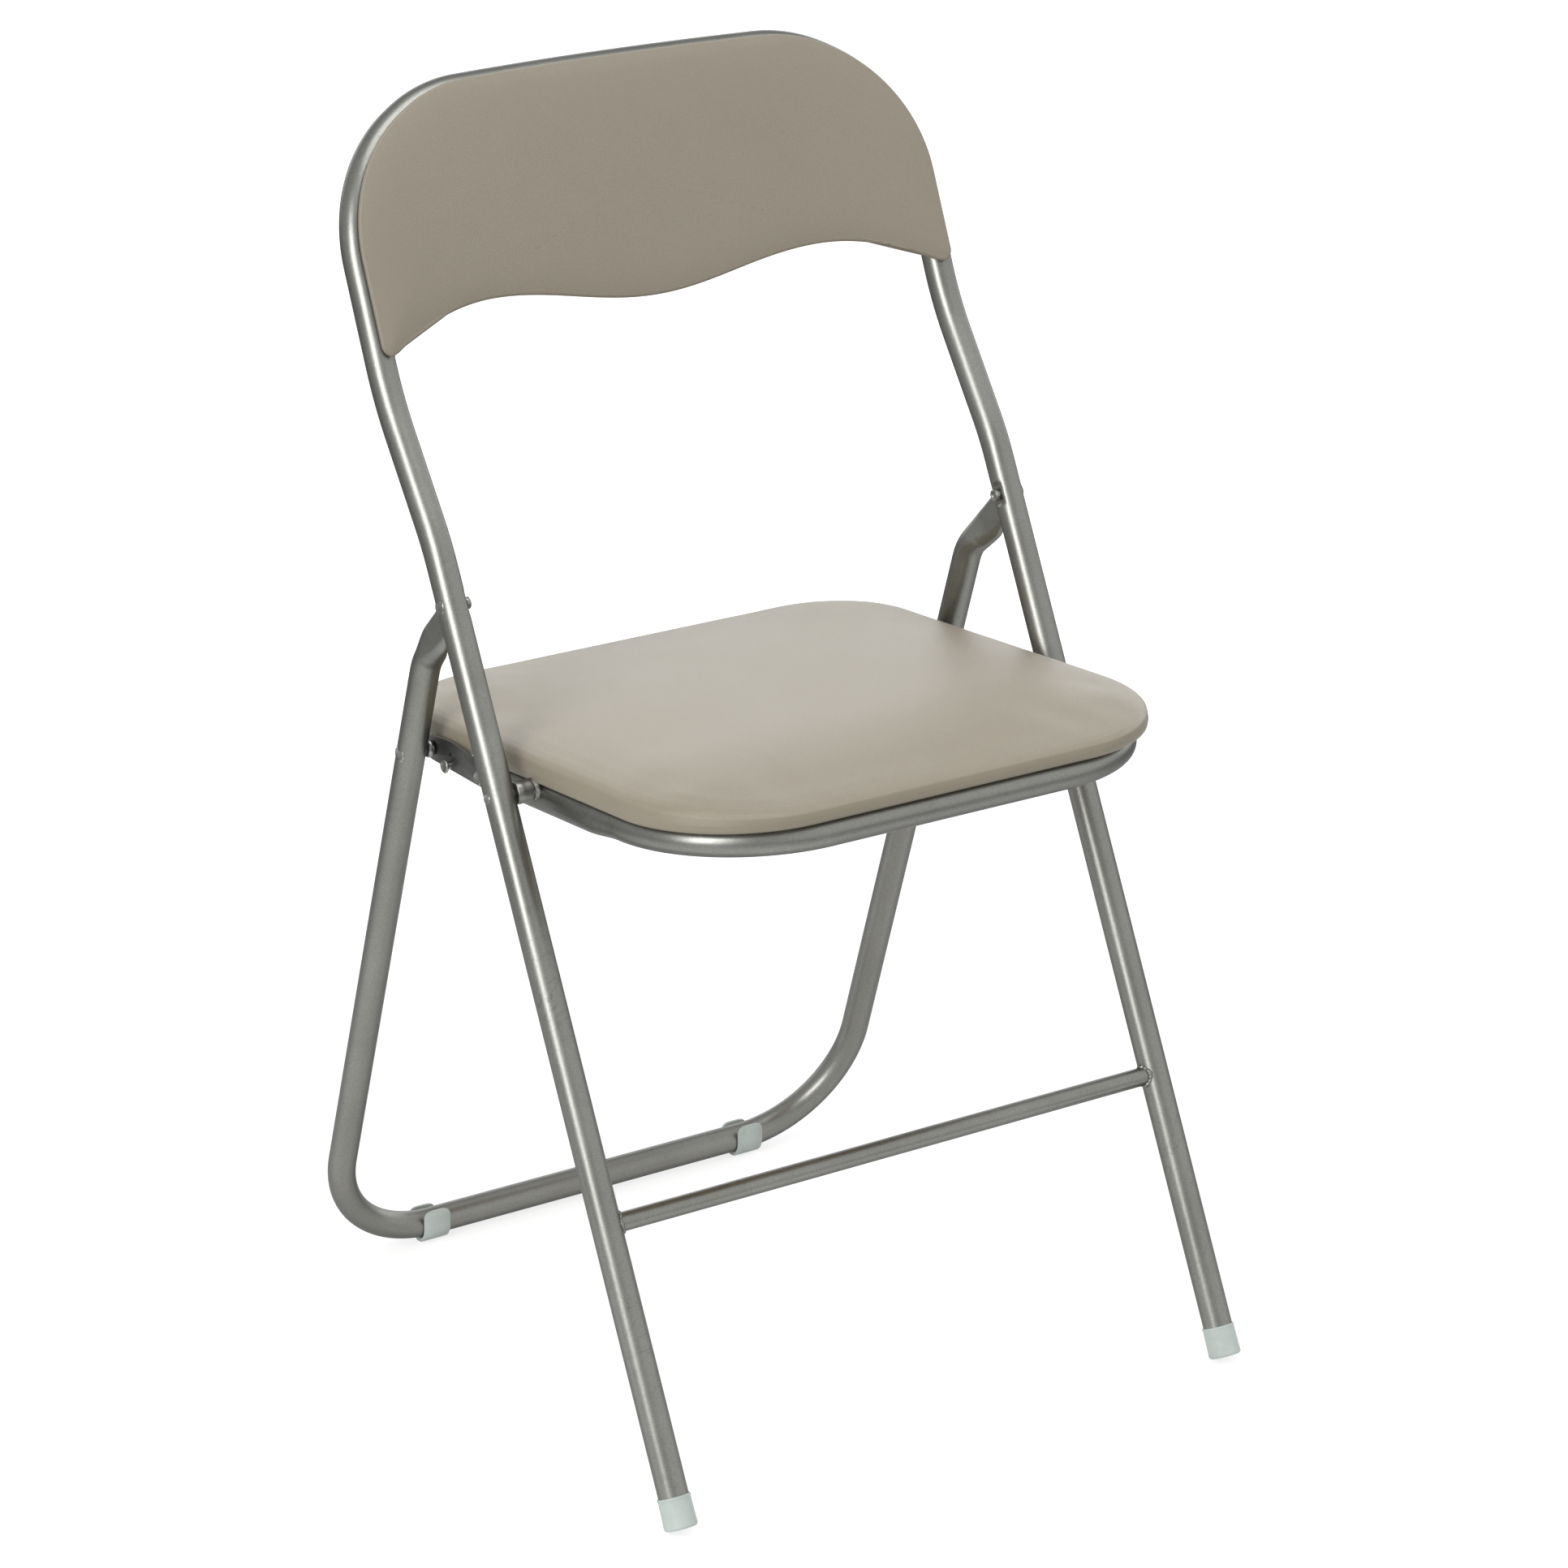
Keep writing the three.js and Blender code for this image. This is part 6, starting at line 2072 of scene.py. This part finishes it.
# Back panel
@dataclass
class BackPanel:
    """Thin padded panel with a wavy lower edge, screwed to tabs inside the hoop."""

    palette: Palette
    fasteners: Fasteners
    half_w: float = 211.0
    top: float = 184.8
    corner_r: float = 101.0
    tip: float = 24.0
    tip_r: float = 8.0
    tip_sweep: float = 80.0
    tip_lead: float = 4.0
    peak_x: float = 118.5
    peak: float = 50.2
    dip: float = 36.2
    board_t: float = 2.2
    front: float = 14.2
    crown: float = 3.0
    fall: float = 13.0
    edge_r: float = 2.0
    tab_t: float = 1.5
    tab_w: float = 18.0
    tab_reach: float = 17.0

    def wave(self, x: Array) -> Array:
        """Height of the lower edge: a cosine in the middle, a parabola down to each corner.

        Args:
            x: Distances across.

        Returns:
            Heights s up the back.
        """
        far = np.abs(x) - self.peak_x
        reach = self.half_w - self.tip_r - self.peak_x
        outer = self.peak - (self.peak - self.tip) * (far / reach) ** 2
        middle = (self.peak + self.dip) / 2
        inner = middle - (self.peak - self.dip) / 2 * np.cos(math.pi * x / self.peak_x)
        return np.where(far > 0, outer, inner)

    def outline(self) -> Array:
        """Front view of the panel, anticlockwise from the lower left.

        Returns:
            Rows of x and s.
        """
        w, r, e = self.half_w, self.corner_r, self.tip_r
        tip_y = float(self.wave(np.float64(w - e))) + e
        x = np.linspace(-1, 1, 101) * (w - e - self.tip_lead)
        wave = np.column_stack([x, self.wave(x)])
        side = np.linspace(tip_y, self.top - r, 12)[1:-1]
        bar = np.linspace(1, -1, 40)[1:-1] * (w - r)
        flat = np.vstack([
            wave,
            arc(w - e, tip_y, e, -self.tip_sweep, 0, 6),
            np.column_stack([np.full(len(side), w), side]),
            arc(w - r, self.top - r, r, 0, 90, 2.5),
            np.column_stack([bar, np.full(len(bar), self.top)]),
            arc(r - w, self.top - r, r, 90, 180, 2.5),
            np.column_stack([np.full(len(side), -w), side[::-1]]),
            arc(e - w, tip_y, e, 180, 180 + self.tip_sweep, 6),
        ])
        flat[:, 1] = LAYOUT.arched(flat[:, 0], flat[:, 1], self.top - r)
        return flat

    def rings(self, rows: Sequence[tuple[float, float, float]]) -> Array:
        """Rings of the outline, drawn in and raised.

        Args:
            rows: Inset, scale about the middle, and distance in front of the uprights.

        Returns:
            Array of row, point, coordinate.
        """
        outline = self.outline()
        normals = outward(outline)
        middle = np.array([0.0, (self.top + self.dip) / 2])
        made = []
        for inset, scale, n in rows:
            plan = middle + (outline - normals * inset - middle) * scale
            made.append(LAYOUT.on_back(plan[:, 0], plan[:, 1], n))
        return np.array(made)

    def edge_distance(self, plan: Array) -> Array:
        """Distance of points of the panel's front view to the nearest part of its outline.

        Args:
            plan: Points x, s.

        Returns:
            The distance of each.
        """
        a = self.outline()[::2]
        run = np.roll(a, -1, axis=0) - a
        away = plan.reshape(-1, 1, 2) - a
        share = np.clip((away * run).sum(axis=-1) / (run**2).sum(axis=-1), 0, 1)
        gap = np.linalg.norm(away - share[..., None] * run, axis=-1).min(axis=1)
        return gap.reshape(plan.shape[:-1])

    def build_pad(self) -> None:
        """Padded front: a face that falls off near its outline, a round edge and a welded lip.

        The face stands n = front + crown * (1 - exp(-d / fall)) before the uprights, where d is
        the distance from the outline.
        """
        back = LAYOUT.tube_r + 2 * LAYOUT.gap + self.board_t
        e = self.edge_r
        outline = self.outline()
        base = outline - outward(outline) * e
        middle = np.array([0.0, (self.top + self.dip) / 2])
        k = np.sin(np.linspace(0.02, math.pi / 2, 44))[:, None, None]
        plan = middle + (base - middle) * k
        d = self.edge_distance(plan)
        d = np.maximum(d - d[-1:], 0)
        n = self.front + self.crown * (1 - np.exp(-d / self.fall))
        face = LAYOUT.on_back(plan[..., 0], plan[..., 1], n)
        t = np.radians(np.linspace(0, 90, 8))
        rows = [(e - e * math.sin(a), 1.0, self.front - e + e * math.cos(a)) for a in t[1:]]
        rows += [(0.1, 1.0, back + 0.1), (0.6, 1.0, back)]
        rows += [(0.8, share, back) for share in np.linspace(1, 0.02, 30)[1:]]
        piece = solid("back_pad_cover", np.concatenate([face, self.rings(rows)]), sharp=60)
        self.palette.dress(piece, "back_vinyl", "front", "back_pad")

    def build_rear(self) -> None:
        """Board behind the pad, wrapped in the same vinyl."""
        low = LAYOUT.tube_r + LAYOUT.gap
        rows = [(1.4, k, low) for k in np.linspace(0.02, 1, 30)]
        rows += [(0.9, 1.0, low + 0.2), (0.8, 1.0, low + 0.6), (0.8, 1.0, low + self.board_t)]
        rows += [(0.8, k, low + self.board_t) for k in np.linspace(1, 0.02, 30)[1:]]
        piece = solid("back_rear_panel", self.rings(rows), sharp=60)
        self.palette.dress(piece, "back_vinyl", "front", "back_board")

    def build_tabs(self) -> None:
        """Steel tabs welded inside the hoop, each with its screw."""
        lay = LAYOUT
        face = lay.tube_r - lay.gap / 2
        rear = face - self.tab_t
        side_s, top_x = lay.back_length - lay.back_corner_r - 15, 66.0
        dip = lay.bow(side_s) * (1 - ((lay.frame_half_w - lay.tube_r) / lay.frame_half_w) ** 2)
        side_x = (lay.frame_half_w - math.sqrt(lay.tube_r**2 - (rear - dip) ** 2)
                  - lay.gap - self.tab_reach / 2)
        corner_s = lay.back_length - lay.back_corner_r
        bar_s = float(lay.arched(np.float64(top_x), np.float64(lay.back_length), corner_s))
        top_s = bar_s - math.sqrt(lay.tube_r**2 - rear**2) - lay.gap - self.tab_reach / 2
        reach, width = self.tab_reach / 2 + 0.6, self.tab_w / 2
        spots = {"side": (side_x, side_s, reach, width), "top": (top_x, top_s, width, reach)}
        for name, side in SIDES.items():
            for spot, (x, s, half_x, half_s) in spots.items():
                self.build_tab(f"{spot}_{name}", side * x, s, half_x, half_s, rear, face)

    def build_tab(self, name: str, x: float, s: float, half_x: float, half_s: float,
                  rear: float, face: float) -> None:
        """One tab and its screw.

        Args:
            name: Spot and side.
            x: Middle of the tab across the chair.
            s: Middle of the tab up the back.
            half_x: Half its size across.
            half_s: Half its size up the back.
            rear: Its rear face in front of the tube's axis.
            face: Its front face.
        """
        square = [(1, 1), (-1, 1), (-1, -1), (1, -1), (1, 1), (-1, 1)]
        loop = soften([(half_x * i, half_s * j) for i, j in square], 3.0)[1:-1]
        split = len(loop) // 5
        loop = loop[: 4 * split]
        rings = []
        for inset, n in [(0.3, rear), (0.0, rear + 0.3), (0.0, face - 0.3), (0.3, face)]:
            ring = loop * (1 - inset / half_s)
            rings.append(LAYOUT.on_back(x + ring[:, 0], s + ring[:, 1], n))
        tab = solid(f"back_tab_plate_{name}", np.array(rings))
        self.palette.dress(tab, "frame", "front", f"back_tab_{name}")
        point = LAYOUT.on_back(x, np.float64(s), rear)
        end = LAYOUT.tube_r + LAYOUT.gap + self.board_t - 0.4 - rear
        spot = Spot(f"back_fixing_screw_{name}", f"back_screw_{name}", point,
                    LAYOUT.back_normal(x), "front")
        self.fasteners.screw(spot, -LAYOUT.gap, end)

    def build(self) -> None:
        """Builds and dresses the panel, its tabs and screws."""
        self.build_rear()
        self.build_pad()
        self.build_tabs()


# Studio
@dataclass
class Softbox:
    """A rectangular lamp aimed at a point, in metres and watts."""

    name: str
    place: tuple[float, float, float]
    aim: tuple[float, float, float]
    width: float
    height: float
    power: float

    def build(self) -> None:
        """Adds the lamp to the scene."""
        data = bpy.data.lights.new(self.name, "AREA")
        data.shape = "RECTANGLE"
        data.size, data.size_y = self.width, self.height
        data.energy = self.power
        aim_at(put_object(self.name, data), np.array(self.place), np.array(self.aim))


def aim_at(obj: Object, place_at: Array, target: Array) -> None:
    """Puts a lamp or camera at a place, its -Z axis towards the target and its Y axis up."""
    obj.location = Vector(place_at)
    obj.rotation_euler = Vector(target - place_at).to_track_quat("-Z", "Y").to_euler()


@dataclass
class Studio:
    """Pale floor, white surroundings, soft lamps and the camera."""

    camera_place: tuple[float, float, float] = (-1.7094, -2.5944, 1.5337)
    camera_target: tuple[float, float, float] = (-0.0004, -0.02303, 0.37814)
    lens: float = 120.62
    shift_x: float = -0.0003
    dim: float = 0.5
    bright: float = 1.9
    glow: float = 0.4
    backdrop_top: tuple[float, float] = (0.33, 0.47)
    backdrop_side: tuple[float, float] = (0.45, 0.8)
    floor_half: float = 12.0
    floor_mirrored: float = 0.1
    lamps: tuple[Softbox, ...] = (
        Softbox("key_left", (-2.25, -1.05, 1.5), (0, 0, 0.45), 0.9, 1.9, 42.0),
        Softbox("overhead", (0.1, -0.3, 2.6), (0, 0, 0.4), 1.4, 1.2, 15.0),
    )

    def build_world(self) -> None:
        """Studio: white where it is seen, and a bright backdrop in a dimmer room around it.

        What the chair gets from a direction is dim + (bright - dim) * low * behind + glow: low is
        one up to the backdrop's top edge, behind is one straight behind the chair and the glow
        comes from the right.
        """
        world = bpy.data.worlds.new("pale_surroundings")
        bpy.context.scene.world = world
        world.use_nodes = True
        tree = world.node_tree
        where = place(tree, "TexCoord").outputs["Generated"]
        ahead = np.array(self.camera_target) - np.array(self.camera_place)
        ahead = tuple(unit(ahead * [1, 1, 0]))
        behind = dot(tree, where, ahead)
        height = place(tree, "SeparateXYZ", None, {0: where}).outputs["Z"]
        low = remap(tree, height, self.backdrop_top, (1.0, 0.0))
        backdrop = times(tree, low, remap(tree, behind, self.backdrop_side))
        aside = tuple(np.cross(ahead, (0, 0, 1)))
        right = dot(tree, where, aside)
        glow = remap(tree, right, (0.2, 0.6), (0.0, self.glow))
        lit = maths(tree, "ADD", glow, remap(tree, backdrop, (0.0, 1.0), (self.dim, self.bright)))
        path = place(tree, "LightPath")
        glossy = times(tree, lit, path.outputs["Is Glossy Ray"])
        spread = times(tree, lit, path.outputs["Is Diffuse Ray"])
        seen = maths(tree, "ADD", path.outputs["Is Camera Ray"], path.outputs["Is Transmission Ray"])
        total = maths(tree, "ADD", seen, maths(tree, "ADD", glossy, spread))
        background = tree.nodes["Background"]
        background.inputs["Color"].default_value = WHITE
        tree.links.new(total, background.inputs["Strength"])

    def build_floor(self) -> None:
        """Pale floor that keeps the chair's shadow near it and goes to plain white far off."""
        half = self.floor_half
        mesh = bpy.data.meshes.new("floor")
        corners = [(-half, -half, 0), (half, -half, 0), (half, half, 0), (-half, half, 0)]
        mesh.from_pydata(corners, [], [(0, 1, 2, 3)])
        floor = put_object("floor", mesh)
        material = bpy.data.materials.new("pale_floor")
        material.use_nodes = True
        tree = material.node_tree
        shader = tree.nodes["Principled BSDF"]
        path = place(tree, "LightPath")
        seen = maths(tree, "ADD", path.outputs["Is Camera Ray"], path.outputs["Is Transmission Ray"])
        mirrored_share = times(tree, path.outputs["Is Glossy Ray"], self.floor_mirrored)
        where = place(tree, "TexCoord").outputs["Object"]
        reach = place(tree, "VectorMath", {"operation": "LENGTH"}, {0: where}).outputs["Value"]
        far = remap(tree, reach, (0.5, 1.6), (0.0, 1.0))
        faded = blend_colours(tree, far, (0.8, 0.8, 0.8, 1.0), (0.3, 0.3, 0.3, 1.0))
        tone = blend_colours(tree, seen, faded, (0.45, 0.45, 0.45, 1.0))
        tree.links.new(tone, shader.inputs["Base Color"])
        shader.inputs["Roughness"].default_value = 0.9
        shader.inputs["Specular IOR Level"].default_value = 0.1
        plain = remap(tree, reach, (0.55, 1.5), (0.7, 1.0))
        shown = maths(tree, "ADD", times(tree, seen, plain), mirrored_share)
        glow = place(tree, "Emission", None, {"Color": WHITE, "Strength": shown})
        both = place(tree, "AddShader", None, {0: shader.outputs[0], 1: glow.outputs[0]})
        tree.links.new(both.outputs[0], tree.nodes["Material Output"].inputs["Surface"])
        mesh.materials.append(material)

    def build_camera(self) -> None:
        """Long lens, level, from the front left and above."""
        data = bpy.data.cameras.new("camera")
        data.lens = self.lens
        data.sensor_width = 36.0
        data.shift_x = self.shift_x
        camera = put_object("camera", data)
        aim_at(camera, np.array(self.camera_place), np.array(self.camera_target))
        bpy.context.scene.camera = camera

    def build(self) -> None:
        """Builds the whole studio."""
        bpy.context.scene.view_settings.view_transform = "Standard"
        self.build_world()
        self.build_floor()
        self.build_camera()
        for lamp in self.lamps:
            lamp.build()


def main() -> None:
    """Builds the studio and then the chair, one sub-assembly after another."""
    logging.basicConfig(level=logging.INFO, format="%(message)s")
    Studio().build()
    palette = Palette()
    fasteners = Fasteners(palette)
    for assembly in (
        FrontFrame(palette),
        RearFrame(palette),
        SeatFrame(palette),
        Links(palette),
        fasteners,
        Feet(palette),
        SeatCushion(palette),
        BackPanel(palette, fasteners),
    ):
        assembly.build()


if __name__ == "__main__":
    main()
